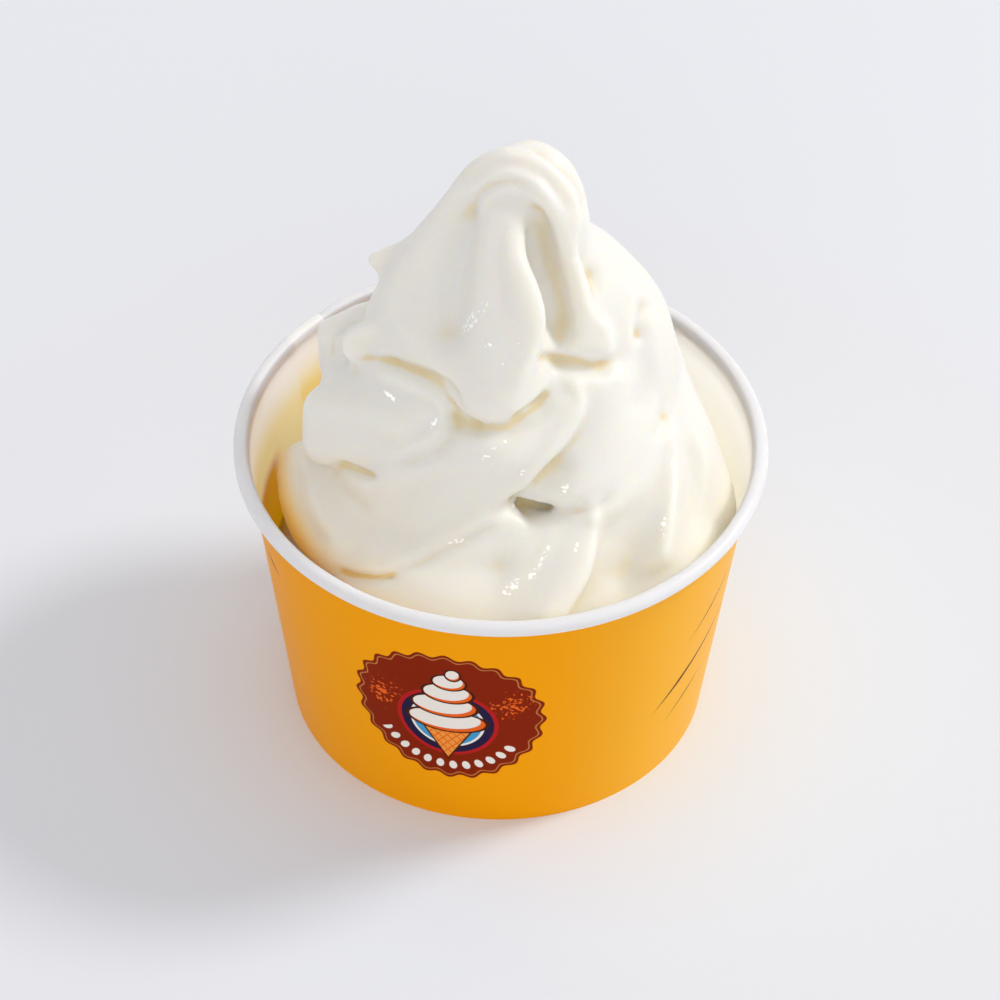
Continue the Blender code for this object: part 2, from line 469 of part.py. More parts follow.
def fused(mesh, voxel):
    """One skin round the overlapping bodies of a mesh, as mesh, coordinates in mm, edges and quads."""
    blank = bpy.data.objects.new("blank", mesh)
    bpy.context.scene.collection.objects.link(blank)
    remesh = blank.modifiers.new("fuse", "REMESH")
    remesh.mode = "VOXEL"
    remesh.voxel_size = voxel * MM
    depsgraph = bpy.context.evaluated_depsgraph_get()
    mesh = bpy.data.meshes.new_from_object(blank.evaluated_get(depsgraph))
    old = blank.data
    bpy.data.objects.remove(blank)
    bpy.data.meshes.remove(old)
    co = np.empty(len(mesh.vertices) * 3)
    mesh.vertices.foreach_get("co", co)
    edges = np.empty(len(mesh.edges) * 2, dtype=np.int64)
    mesh.edges.foreach_get("vertices", edges)
    quads = np.empty(len(mesh.polygons) * 4, dtype=np.int64)
    mesh.polygons.foreach_get("vertices", quads)
    return mesh, co.reshape(-1, 3) / MM, edges.reshape(-1, 2), quads.reshape(-1, 4)


def build_ice_cream(material):
    """The filling and its swirl in one piece."""
    mesh = bpy.data.meshes.new("blank")
    ice_cream_blank().to_mesh(mesh)
    mesh, co, edges, quads = fused(mesh, VOXEL)
    co = relax(co, edges, quads, MELT_ROUNDS, MELT_FILL, MELT_WEAR)
    normals = vertex_normals(co, quads)
    co = co + stroke_heights(co, normals, STROKES)[:, None] * normals
    mesh.vertices.foreach_set("co", (co * MM).astype(np.float32).ravel())
    mesh, co, edges, quads = fused(mesh, VOXEL)
    co = relax(co, edges, quads, SMOOTH_ROUNDS, SMOOTH_FILL, SMOOTH_WEAR)
    co = clamp_to_cup(co)
    mesh.vertices.foreach_set("co", (co * MM).astype(np.float32).ravel())
    mesh.materials.clear()
    mesh.materials.append(material)
    mesh.shade_smooth()
    obj = bpy.data.objects.new("ice_cream", mesh)
    bpy.context.scene.collection.objects.link(obj)
    reduce = obj.modifiers.new("reduce", "DECIMATE")
    reduce.ratio = TRIANGLES / (2 * len(quads))
    reduce.use_collapse_triangulate = True
    return obj


def lap_offsets(turn_deg):
    """How far the wall's inner and outer faces stand out, in mm, where the blank laps over itself."""
    before = [LAP_DEG - LAP_EASE_DEG, LAP_DEG - LAP_EDGE_DEG]
    inner = np.interp(turn_deg, before + [LAP_DEG], [0.0, PAPER, 0.0])
    end = LAP_DEG + LAP_ARC_DEG
    outer = np.interp(turn_deg, before + [end, end + LAP_EDGE_DEG], [0.0, PAPER, PAPER, 0.0])
    return inner, outer


def wall_profile(inner, outer):
    """Section (radius, height) of the wall, from its outer foot round the curl to the fold."""
    curl_centre = (RIM_OUTER_RADIUS - CURL_RADIUS, CUP_HEIGHT - CURL_RADIUS)
    slot = 2 * GAP + BASE_PAPER

    def on_curl(radius, angle_deg):
        angle = math.radians(angle_deg)
        return (curl_centre[0] + radius * math.cos(angle), curl_centre[1] + radius * math.sin(angle))

    count = round((180.0 - CURL_END_DEG) / CURL_STEP_DEG)
    angles = [180.0 - CURL_STEP_DEG * k for k in range(count + 1)]
    section = [(wall_radius(0) + outer, 0.0)]
    section += [on_curl(CURL_RADIUS - PAPER - outer, angle) for angle in angles]
    section += [on_curl(CURL_RADIUS - inner, angle) for angle in reversed(angles)]
    section += [
        (wall_radius(PAPER) - PAPER, PAPER),
        (wall_radius(PAPER) - PAPER - slot, PAPER),
        (wall_radius(FOLD_HEIGHT) - PAPER - slot, FOLD_HEIGHT),
        (wall_radius(FOLD_HEIGHT) - 2 * PAPER - slot, FOLD_HEIGHT),
        (wall_radius(0) - 2 * PAPER - slot, 0.0),
    ]
    return section


def build_cup_wall(white, printed):
    """Side wall of one paper blank: rolled out at the rim, folded in at the foot."""
    steps = [LAP_DEG - LAP_EDGE_DEG, LAP_DEG, LAP_DEG + LAP_ARC_DEG, LAP_DEG + LAP_ARC_DEG + LAP_EDGE_DEG]
    even = [360.0 * k / CUP_SIDES for k in range(CUP_SIDES)]
    turns = sorted(steps + [t for t in even if min(abs(t - step) for step in steps) > 1.0])
    bm = bmesh.new()
    loops = []
    for turn in turns:
        c, s = math.cos(math.radians(turn)), math.sin(math.radians(turn))
        section = wall_profile(*lap_offsets(turn))
        loops.append([bm.verts.new((r * c * MM, r * s * MM, z * MM)) for r, z in section])
    for here, there in zip(loops, loops[1:] + loops[:1]):
        for k in range(len(here)):
            nxt = (k + 1) % len(here)
            face = bm.faces.new((here[k], there[k], there[nxt], here[nxt]))
            face.material_index = 1 if k == 0 else 0
    bmesh.ops.recalc_face_normals(bm, faces=bm.faces)
    obj = new_object("cup_wall", bm, white)
    obj.data.materials.append(printed)
    obj.data.set_sharp_from_angle(angle=math.radians(SHARP_DEG))
    return obj


def build_cup_base(white):
    """Round base set in above the foot, with a skirt held in the wall's fold."""
    face = PAPER + GAP
    bm = bmesh.new()
    rings = []
    for radius, height in (
        (wall_radius(BASE_TOP) - face - BASE_PAPER, BASE_TOP),
        (wall_radius(BASE_TOP - BASE_PAPER) - face, BASE_TOP - BASE_PAPER),
        (wall_radius(SKIRT_FOOT) - face, SKIRT_FOOT),
        (wall_radius(SKIRT_FOOT) - face - BASE_PAPER, SKIRT_FOOT),
        (wall_radius(BASE_TOP - BASE_PAPER) - face - BASE_PAPER, BASE_TOP - BASE_PAPER),
    ):
        ring = []
        for k in range(CUP_SIDES):
            turn = math.tau * k / CUP_SIDES
            ring.append(bm.verts.new((radius * math.cos(turn) * MM, radius * math.sin(turn) * MM,
                                      height * MM)))
        rings.append(ring)
    for here, there in zip(rings, rings[1:]):
        for k in range(CUP_SIDES):
            nxt = (k + 1) % CUP_SIDES
            bm.faces.new((here[k], there[k], there[nxt], here[nxt]))
    bm.faces.new(rings[0])
    bm.faces.new(rings[-1][::-1])
    bmesh.ops.recalc_face_normals(bm, faces=bm.faces)
    obj = new_object("cup_base", bm, white)
    obj.data.set_sharp_from_angle(angle=math.radians(SHARP_DEG))
    return obj


def principled(name, colour, roughness, subsurface=0.0):
    """A non-metal material of one colour."""
    material = bpy.data.materials.new(name)
    material.use_nodes = True
    shader = material.node_tree.nodes["Principled BSDF"]
    shader.inputs["Base Color"].default_value = (*colour, 1.0)
    shader.inputs["Roughness"].default_value = roughness
    shader.inputs["Metallic"].default_value = 0.0
    shader.inputs["Subsurface Weight"].default_value = subsurface
    material.diffuse_color = (*colour, 1.0)
    return material


def main():
    for obj in list(bpy.data.objects):
        bpy.data.objects.remove(obj)
    white = principled("white_paper", (0.86, 0.85, 0.82), 0.4)
    printed = principled("printed_paper", (0.88, 0.33, 0.02), 0.35)
    cream = principled("ice_cream", (0.9, 0.86, 0.74), 0.3, 0.3)
    build_cup_wall(white, printed)
    build_cup_base(white)
    build_ice_cream(cream)


main()
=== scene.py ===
"""Cup of soft ice cream: the looks of a printed paper cup and its piped swirl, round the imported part.

Sizes are in millimetres and become metres when a mesh is made. The cup's axis is Z, it stands on
the XY plane, and its seen side faces -Y.
"""

import math

import bmesh
import bpy
import numpy as np
from mathutils import Matrix, Vector


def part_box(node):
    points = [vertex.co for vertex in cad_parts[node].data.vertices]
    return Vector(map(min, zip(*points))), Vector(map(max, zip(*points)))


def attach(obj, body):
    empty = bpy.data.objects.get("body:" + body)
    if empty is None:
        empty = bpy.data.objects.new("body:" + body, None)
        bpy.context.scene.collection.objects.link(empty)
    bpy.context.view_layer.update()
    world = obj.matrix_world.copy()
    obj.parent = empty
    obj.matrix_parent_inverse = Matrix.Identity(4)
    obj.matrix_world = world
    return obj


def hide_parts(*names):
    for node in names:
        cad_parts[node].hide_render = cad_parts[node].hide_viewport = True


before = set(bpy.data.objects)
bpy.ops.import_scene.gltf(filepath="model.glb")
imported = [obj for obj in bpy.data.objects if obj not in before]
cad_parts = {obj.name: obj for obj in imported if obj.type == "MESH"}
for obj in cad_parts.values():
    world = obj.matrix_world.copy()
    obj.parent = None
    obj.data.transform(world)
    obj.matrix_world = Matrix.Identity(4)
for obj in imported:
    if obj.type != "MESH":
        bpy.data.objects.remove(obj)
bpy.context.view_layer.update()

MM = 0.001

# Paper cup, 96 mm across the rim and 59 mm high
RIM_OUTER_RADIUS = 48.0
CUP_HEIGHT = 59.0
FOOT_OUTER_RADIUS = 37.6
CURL_RADIUS = 1.41
PAPER = 0.45
CURL_END_DEG = -120.0
CURL_STEP_DEG = 10.0
FOLD_HEIGHT = 6.0
BASE_TOP = 7.2
BASE_PAPER = 0.4
GAP = 0.3
CUP_SIDES = 256
WALL_RINGS = 24

# Where the paper blank laps over itself
LAP_DEG = 136.0
LAP_ARC_DEG = 10.0
LAP_EASE_DEG = 5.0
LAP_EDGE_DEG = 0.6
# Steps of the wall's mesh this near a lap's edge are left out, and its edges this sharp stay sharp
LAP_CLEAR_DEG = 0.4
SHARP_DEG = 40.0

# Line of sight of the swirl's stations: they are placed as seen from the front, this far up, from
# the middle of the rim
SIGHT_ELEVATION = math.radians(43.9)
SIGHT_DISTANCE = 1376.0

# Lines worked into the seen side: they fade out over this share of their length at either end,
# a lip stands this many widths away, and only what faces the viewer in front takes them
STROKE_TAPER = 0.2
STROKE_STEP = 1.0
LIP_PLACE = 2.2
LIP_WIDTH = 1.6
FULL_FACING = 0.3
SEEN_CELL = 2.0
SEEN_DEPTH = 7.0
FAR = 1e9
TINY = 1e-9

# Ice cream mesh
VOXEL = 0.55
MOST_TRIANGLES = 190000
# Rounds of rounding off: soft ice cream sinks and fills its hollows, then its folds are smoothed
MELT_ROUNDS = 32
MELT_FILL = 0.5
MELT_WEAR = 0.18
SMOOTH_ROUNDS = 4
SMOOTH_FILL = 0.4
SMOOTH_WEAR = 0.25
ROPE_SIDES = 20
ROPE_CAP_DEG = (75, 50, 25)
ROPE_STEP = 1.6
NEARLY_UPRIGHT = 0.1
WEB_STEP = 2.0
WEB_STATIONS = 10
FILL_LEVEL = 30.0

# Depth in a crease, found by smoothing: rounds, and the depth in mm that counts in full by then
HOLLOW_SCALES = ((12, 0.4), (80, 1.6))
HOLLOW_STEP = 0.6
HOLLOW_FULL = 1.4
# Creases deeper and narrower than this get more painted shade, warmer than their depth alone would give
# them
SHADE_CREASE_DEPTH = 0.65
SHADE_CREASE_NARROW = 1.0
SHADE_CREASE_WIDTH = 0.8
SHADE_CREASE_SHARE = 0.3

# Camera at the photograph's viewing angle
CAMERA_ELEVATION = math.radians(43.88)
CAMERA_ROLL = math.radians(0.91)
CAMERA_DISTANCE = 1376.3
CAMERA_TARGET_HEIGHT = 44.06
CAMERA_LENS = 274.45

# Folds of ice cream. Each is a sheet with round edges between its rails, or a single rope. A rail is
# a row of stations (across, up, toward the viewer, radius) seen along the sight line.
FOLDS = {
    "cone": [[(0, 38, 29, 8), (-1, 31, 25, 10), (-3, 22, 20, 12.5), (-2, 14, 17, 14), (2, 4, 12, 14)]],
    "tongue": [
        [(3, 43, 38.9, 2.2), (1.8, 38, 39.8, 2.3), (1.8, 32, 40.5, 2.4), (3.6, 27.5, 40.2, 2.5),
         (5.2, 22.5, 39.4, 2.5), (5, 18, 37.8, 2.6), (3.2, 12.5, 36.2, 2.8), (0.4, 7.4, 33.2, 4.4)],
        [(-1.2, 43.5, 38.5, 2.2), (-2.8, 39, 38.6, 2.4), (-3.6, 33, 38.4, 2.6), (-3.2, 27, 37.8, 3),
         (-2.6, 22, 36.8, 3.2), (-2, 17, 35.6, 3.6), (-1.6, 12, 34, 4), (-1.8, 7.2, 32.2, 4.7)],
        [(-5.5, 42, 35.5, 2.4), (-8, 38, 33, 2.4), (-10, 31, 29.5, 3), (-10, 25, 28.8, 3.2),
         (-9.2, 20, 29.2, 3.4), (-7.8, 16, 30.4, 3.8), (-6, 12, 31.2, 4.2), (-4, 8.2, 30.8, 4.6)],
        [(-10.5, 38.5, 31, 3), (-15, 31.8, 28, 3.4), (-17.5, 26, 26, 3.6), (-17.5, 21.5, 25.5, 3.4),
         (-14, 18, 27, 3.6), (-11, 15, 28, 3.8), (-8, 12.3, 29, 4.2)],
        [(-12, 36.5, 28.5, 2.6), (-18, 32.8, 22, 2.2), (-19.5, 26, 19, 3.4), (-22, 21, 18.5, 3.2),
         (-20, 17.8, 21, 2.8), (-15, 16.5, 25, 3), (-11, 13.8, 27, 3.6)]],
    "tongue_root": [[(3.5, 16, 30, 6), (1.5, 9.5, 28.5, 7)]],
    "spike": [[(-16, 32.5, 23, 3.6), (-19, 32.2, 21, 2.8), (-22, 31.6, 20, 2.2), (-23.2, 31.8, 19.5, 1.7)]],
    "left_lobe": [[(-17, 16, 3, 7.8), (-22, 16.2, 1.5, 7.6), (-26.8, 16.8, 0.5, 7.4),
                   (-23.2, 11.4, 0, 7.4)]],
    "lip": [[(-26.4, 14.8, 19, 1.9), (-26.9, 16.8, 19.5, 1.9), (-24, 18.8, 21, 2.1), (-20, 20, 22.5, 2.6)]],
    # folds of the peak
    "hood_back": [[(-3, 46, 34, 4), (1, 48.6, 35.5, 4), (4.5, 49.7, 36.5, 4), (8, 48, 36.5, 3.9),
                   (10.3, 44.8, 35.5, 3.8), (11.5, 40, 33, 3.8), (11, 36, 30, 4.5)]],
    "hood": [
        [(-13.5, 35.5, 27.5, 3.2), (-9.5, 39.5, 31, 3.6), (-6.3, 43.8, 34.5, 3.6), (-3.2, 47.3, 37.5, 3.6),
         (1, 48.8, 39.5, 3.4), (5.2, 48, 40.5, 3), (8.8, 45.5, 40.8, 2.6), (11.3, 42, 40.3, 2.2),
         (12.5, 39.2, 39.5, 1.9)],
        [(-9.5, 37.5, 32.5, 2.2), (-7, 41, 35.5, 2), (-3.8, 44, 38.5, 1.9), (0.8, 45.6, 41, 1.9),
         (4, 45, 42, 1.8), (7.3, 43, 42.2, 1.7), (9.3, 40.2, 41.5, 1.6), (10.2, 37.5, 40, 1.8),
         (11.2, 34.5, 37.5, 2)]],
    "hood_core": [[(-6, 38, 30, 5), (0, 42, 34, 5), (5, 42, 35, 4.5), (9, 38, 33.5, 4)]],
    # right of the tongue
    "groove_floor": [[(4, 42, 36, 4), (5.8, 37.5, 32.3, 4), (6.8, 32, 29.4, 4.5), (9, 27, 27, 5),
                      (10.8, 20, 24.8, 5), (11, 15, 24.5, 5)]],
    "column": [
        [(10, 36.5, 36.2, 2), (11.7, 30.5, 34, 2.2), (13.5, 25.5, 31.8, 2.4), (14.5, 20.5, 30, 2.6),
         (14.3, 17.3, 29.2, 2.8)],
        [(11.2, 34.5, 36.5, 1.6), (12.4, 31, 35, 1.8), (14, 26.5, 32.6, 2), (16.2, 21.6, 30.2, 2.3),
         (17.6, 17.3, 28.4, 2.9)]],
    "shoulder": [[(8, 34, 25, 8), (12.5, 29, 20, 10.5), (16, 21, 14.5, 13.8), (17.5, 12, 8, 14.3),
                  (19, 4, 2, 13)]],
    # second coil
    "pillow": [
        [(-28, 10, 11.5, 2.6), (-20.5, 9.2, 19.5, 2.6), (-15.5, 7, 23.5, 2.6), (-13, 4.5, 25, 2.6)],
        [(-31.6, 5, 12, 4.2), (-22, 4, 18.5, 4.5), (-17, 3, 21.5, 4.5), (-14.2, 3, 22.7, 3.6)],
        [(-31.8, -1.2, 10, 4), (-25, -1.6, 15.4, 3.5), (-18.5, 0, 19.2, 3.4), (-13, 1.5, 22.5, 3.2)]],
    "front_core": [[(-24, -14, 3, 9), (-14, -9, 10, 10.5), (-5, -5, 15, 10.5), (2, 0, 18, 9.5),
                    (8, 6, 19.5, 8.5), (16, 9, 17.5, 9.5), (22, 14, 10, 9)]],
    "lip_back": [[(-25, 15.6, 15.5, 3.2), (-21.5, 16.5, 18.5, 3.4), (-17, 16, 22, 4)]],
    "lip_core": [[(-23.5, 10, 10, 5), (-19.5, 12, 15, 6.5), (-13, 11, 20, 7), (-7, 6, 22, 6)]],
    "front": [
        [(-31.5, -7.5, 0, 3.6), (-20, -7, 13.8, 5.2), (-11, -3.8, 21.2, 5), (-4, -3.6, 25.5, 4.5),
         (2, -2.3, 27, 4.5), (7, 2.5, 26.8, 4), (9.5, 7.5, 26.2, 3.5)],
        [(-13, 0, 22.5, 3), (-8, 1, 24.6, 3), (-4, -0.4, 28, 3), (0.6, -0.4, 29.2, 2.8), (5, 1.4, 29, 2.6),
         (9, 5.4, 28.6, 2.8)],
        [(-31.5, -12, 0, 3.6), (-27, -19.5, 5, 4), (-12.5, -15.8, 17.5, 3.5), (-5, -12, 21.5, 3.2),
         (0.5, -8, 24.6, 3), (5, -3.4, 26.8, 2.8), (9.4, 1.6, 28.2, 2.8), (11.2, 6, 28.4, 3)]],
    "right": [
        [(9, 10.8, 26.8, 3.4), (13, 11.2, 27.4, 3.4), (17.5, 10.6, 26, 3.6), (21.5, 12, 22, 3.6),
         (23.5, 17, 17, 3.6), (23.5, 21, 14, 3.2)],
        [(7.5, -2.5, 21.5, 3.6), (12.5, 0.5, 23.2, 4), (17.5, 3.5, 23.6, 4.2), (21.5, 8, 19.5, 4),
         (24, 14, 15.5, 3.6), (24.2, 21, 13, 3)],
        [(3.4, -8.7, 22.8, 1.8), (7.4, -9.4, 23.2, 2), (11.2, -9.7, 24, 2.5), (15, -8.4, 24.2, 2.8),
         (19.3, -4.8, 22.5, 3), (22.6, -1, 20, 3), (24.8, 4, 17.5, 3), (25.6, 10, 15.5, 3),
         (25.6, 17, 13.5, 2.8), (24.5, 22, 12, 2.6)]],
    # bottom coil and its flutes
    "flute_left": [[(-34.4, -6, -6, 5.8), (-33.2, -11, -0.5, 6.4), (-30.6, -16.2, 4, 6.6),
                    (-26, -20.5, 8, 6.6)]],
    "flank_right": [
        [(20.4, 18, 3, 10.6), (24, 8.6, 2.5, 10.2), (27.8, -1, 1.5, 10.8), (31.8, -12, -2, 11)],
        [(22, 3, 7, 7), (25, -5, 5, 7.5), (26, -14, 4, 9)]],
    "apron": [[(-18, -20, 13, 3.5), (-10, -18, 18.5, 3.5), (-4, -15.5, 21.5, 3.4), (0.4, -13.4, 22.8, 2.8),
               (3.2, -15.6, 22, 2.4), (5.6, -17.8, 21.5, 2.2), (8.2, -16.4, 21, 2.2),
               (11, -14.2, 20.8, 2.4)]],
    "belly": [[(-16, -22, 14, 5), (-8, -21, 18.6, 4.6), (0, -19.5, 20.2, 4), (6, -20.5, 21.2, 3.8)]],
    "pit_floor": [[(2.5, -12, 16.9, 3), (9, -13, 17.2, 3)]],
    "flute_a": [
        [(5, -17.8, 19.6, 4), (5, -20, 21.2, 4), (4.5, -24, 21.9, 4), (-0.5, -33, 22.4, 4)],
        [(9.3, -14.8, 18.6, 3.6), (9.2, -17.5, 21.2, 3.6), (8.4, -22, 22.5, 3.6), (3.4, -32, 23.6, 3.6)],
        [(14.4, -12, 20.4, 2.3), (14.4, -18, 24, 2.2), (13.2, -24, 26, 2.2), (8.6, -32, 27.4, 2.2)],
        [(17.5, -12, 18.4, 3), (17.6, -18, 20.8, 3), (16.2, -24, 20, 2.8), (12.2, -32, 22, 2.8)],
        [(21.5, -12, 17.4, 3.6), (21, -18, 16.4, 3.6), (20, -25, 13.6, 3.6), (16, -33, 16.4, 4)]],
    "flute_b": [
        [(24.5, 2, 12, 4), (24.5, -7, 16, 4), (23.6, -13, 15.8, 4.2), (23, -18.5, 13.6, 4.6),
         (22.5, -24, 12.4, 4.6)],
        [(29.9, 5, 9.5, 2.2), (29.9, -5, 15, 2.3), (29.6, -12, 17.5, 2.4), (29, -20, 18.5, 2.5)],
        [(32.4, 4, 3, 3), (32.4, -5, 7.5, 3), (31.8, -12, 10, 3), (31.2, -20, 11.5, 3)]],
    "flute_c": [[(34.8, 1, 0.5, 2.0), (35.8, -5, 3.8, 2.1), (35.2, -12, 6.8, 2.3)]],
    "under_edge": [[(15.5, -13, 21.6, 3.6), (20, -9.5, 20.6, 4), (24, -4.5, 17.8, 4), (27, 0.5, 14.6, 4)]],
}

# Hidden core, in world stations (x, y, z, radius)
CORE = [[(0, 0, 33, 25.5), (0, 0, 45, 22), (1, 0, 60, 19), (2, 1, 80, 13), (2, 1, 96, 8)]]

# Back of the coils, as stations (turn in degrees from +X, distance from the axis, height, radius)
BACK = [
    [(-178, 24, 44, 11), (-150, 25, 46, 12), (-120, 28, 46, 13), (-95, 31, 45.6, 13.2),
     (-65, 29.5, 45.5, 13.5), (-50, 33, 45, 10.8), (-38, 35, 48, 10.5), (-25, 31, 47, 12.5),
     (0, 27.5, 45, 14), (30, 27.5, 45, 13), (65, 27, 47, 12), (100, 26.5, 49, 12), (135, 25, 49, 12),
     (165, 24.5, 47, 11.5)],
    [(10, 20, 72, 12), (45, 20, 72, 12), (80, 20, 72, 12), (115, 19, 71, 12), (150, 20, 69, 12),
     (175, 23.5, 66, 10)],
    [(15, 12, 90, 12), (55, 12, 92, 11), (95, 12, 92, 10.5), (135, 13, 88, 10.5), (165, 16.5, 81, 8)],
]

# Lines worked into the seen side: crease depth, width (or widths left and right of the way), lip
# height on the left of the way, then (across, up) along the sight line, all in mm
STROKES = [
    # under the top coil and round the tongue
    (1.5, 0.9, 0.3, [(-6.8, 3.5), (-8.0, 6.2), (-9.5, 8.7), (-12, 10.4), (-16, 12.1), (-20, 13.5),
                     (-23, 14.1)]),
    (0.7, 0.6, 0, [(-18, 12.9), (-21, 13.8), (-24, 14.1), (-27.2, 13.3)]),
    (1.4, (0.6, 2.6), 0, [(-10.5, 6), (-7.6, 3.6), (-4, 2.3), (0, 1.9), (2.4, 3), (4.6, 4.5), (7, 6.4),
                          (9, 9)]),
    (1.6, 0.6, 0, [(1.4, 2.6), (4.4, 4.4), (6.4, 5.9), (7.8, 7.5), (8.8, 9.6)]),
    (1.5, (1.9, 1.6), 0, [(6, 41), (6.2, 38), (6.6, 35), (7.3, 32), (8.3, 29), (9.2, 26), (9.9, 23.3),
                          (10.4, 20.5), (10.6, 16)]),
    (1.6, (2.4, 0.6), 0, [(20.5, 14.4), (16.5, 13.6), (12.5, 14.4), (8.6, 15), (5.2, 14)]),
    (-0.4, 1.2, 0, [(3, 36), (3.2, 32), (4.6, 29), (6, 26.5), (6.9, 23.5), (7.2, 21), (6.8, 18.5),
                    (5.4, 15.4), (4.2, 12), (2.4, 9), (1, 5.3)]),
    (-0.5, 1.3, 0, [(12, 33), (12.8, 31.5), (14.3, 27.5), (15.8, 23.7), (17.8, 21.8), (19, 19.5),
                    (19.6, 17.3)]),
    # folds of the peak, from the outermost in
    (0.9, 0.7, 0, [(2.5, 52.6), (4.8, 52), (7.4, 50.9), (9.9, 49), (12.2, 46.6), (14, 43.8), (15, 41),
                   (15.2, 38.8)]),
    (-0.4, 0.9, 0, [(-5, 50.2), (-2.5, 51), (0, 51.4), (3, 51.1), (6.5, 49.6), (9.5, 47.2), (11.9, 44.8),
                    (13.4, 42.2), (14.1, 39.8)]),
    (0.7, 1.0, 0, [(-6, 46.5), (-3, 48.6), (0.5, 49.2), (4, 48.5), (6.3, 47.4), (8.5, 45.1), (10.4, 42.9),
                   (11.6, 41), (12, 39)]),
    (-0.5, 0.8, 0, [(-7.5, 41.5), (-5.7, 44.2), (-3.6, 46.2), (-1.4, 47.2), (1, 47.4), (3.4, 47), (6, 45.6),
                    (8, 43.4), (9.6, 40.6)]),
    (0.8, 0.8, 0, [(-8, 38), (-6.6, 41), (-4.6, 43.8), (-2, 45.5), (0.6, 46), (3.2, 45.5), (5.4, 44)]),
    (-0.4, 0.8, 0, [(-5.4, 39), (-4.4, 41.5), (-2.5, 43.8), (0, 44.8), (2.4, 44.4)]),
    # broad valley left of the tongue, and fine folds down the tongue
    (2.4, (3.6, 3.4), 0, [(-7, 45), (-8, 39), (-8.8, 33.5), (-9.4, 28.5), (-9.9, 23), (-10.4, 18.5),
                          (-11, 13)]),
    (0.3, 1.2, 0, [(-0.6, 40), (-1.2, 34), (-0.8, 29), (0.2, 24), (0.6, 20)]),
    # ridge of the second coil that curls round the tongue, and the valley beside it
    (-1.3, 1.2, 0, [(11, 12), (13.2, 9.6), (13.9, 7), (13.3, 4.4), (11.8, 1.8), (9.8, -0.8), (7.4, -3.5),
                    (5.3, -6.2), (3.6, -8.6), (0.4, -12.4)]),
    (1.2, (1.1, 3.2), 0, [(-1.5, -15), (2.9, -10.8), (5.2, -8.6), (7.6, -6.2), (10.2, -3.8), (13, -1.6)]),
    # crests of the flutes
    (-1.1, 1.2, 0, [(16.4, -9), (16.7, -13), (16.6, -17), (16.1, -21), (14.9, -25.2), (11.6, -32),
                    (9, -36)]),
    (1.3, (3.2, 1.6), 0, [(19.6, -14), (19.2, -20), (17.8, -25), (14.6, -30), (11.5, -36)]),
    (-0.9, 1.1, 0, [(29.6, 8), (30.4, 1), (30.8, -6), (30.4, -13), (29.6, -19), (28.4, -25)]),
    (0.5, 1.4, 0, [(33.6, 2), (34.2, -4), (34, -9), (33.2, -15)]),
    (-0.6, 1.0, 0, [(35.6, 2), (36.4, -4), (36, -10), (35, -14)]),
    (-0.3, 1.0, 0, [(9.6, -16), (8.6, -19.6), (6.4, -23), (3, -26), (-1.5, -28.5)]),
    # edge of the left lip
    (-0.6, 0.8, 0, [(-22, 20.2), (-25, 19.6), (-27.6, 18), (-28.6, 16.4), (-28.6, 14.6), (-27.8, 13.2)]),
    (0.9, 0.8, 0, [(-24, 22), (-27.4, 20.8), (-30, 18.2), (-30.6, 15.8), (-30, 13.2)]),
    # small pits
    (1.0, 1.2, 0, [(15, 32), (15.8, 29), (16.3, 26.2), (17, 23.6), (18.6, 20.6)]),
    (1.3, 1.2, 0, [(25.4, 26), (25.2, 23), (24.9, 20.4), (24.8, 17)]),
    (0.8, 1.7, 0, [(25, 22), (25.3, 15), (25, 8), (24, 4)]),
    (0.5, 1.2, 0, [(27, 0), (28.2, 2.6), (29.6, 5.4)]),
    # crest round the pillow, and the slit under it
    (-0.9, 1.2, 0, [(-25.2, 12), (-20.5, 10.8), (-16.3, 9.2), (-12.6, 7.6), (-10.6, 5.6), (-10.4, 2.6),
                    (-13, -0.4), (-17.2, -2.2), (-20.4, -3.4), (-26, -3.8)]),
    (0.8, 1.3, 0, [(-8.4, 6), (-8.4, 2.5), (-11, -2), (-15.5, -4.4), (-20, -5.6)]),
    (1.9, (1.1, 0.45), 0.2, [(-22, -6.8), (-23.6, -6.6), (-25.4, -6.1), (-27.6, -5.3), (-30, -4.7)]),
    (0.8, 1.4, 0, [(-31, -5), (-29.4, -7.5), (-27.4, -10.1), (-24.8, -12.3), (-22.2, -13)]),
    # left edge of the front mass
    (1.1, 1.5, 0.3, [(-35.6, -2.4), (-36.4, -7.4), (-36.2, -10.4), (-35, -14), (-33, -17.6), (-30, -21)]),
    # between the lobes of the second coil, and its lower edge
    (1.0, 0.8, 0, [(2, -10.6), (5, -11.2), (7.5, -11.6), (10.4, -12.1)]),
    (0.6, 0.8, 0.3, [(20.8, -9.2), (18.2, -11.4), (15.6, -12.6), (12, -12.8)]),
    (0.7, 1.0, 0.4, [(-20, -24.6), (-15, -22.6), (-10, -20.2), (-5, -17.7), (1, -14.4)]),
    (1.7, (0.5, 1.2), 0.2, [(-30, -23.4), (-27.4, -24.4), (-24.5, -24.8), (-21.5, -24.8), (-17.5, -24)]),
]

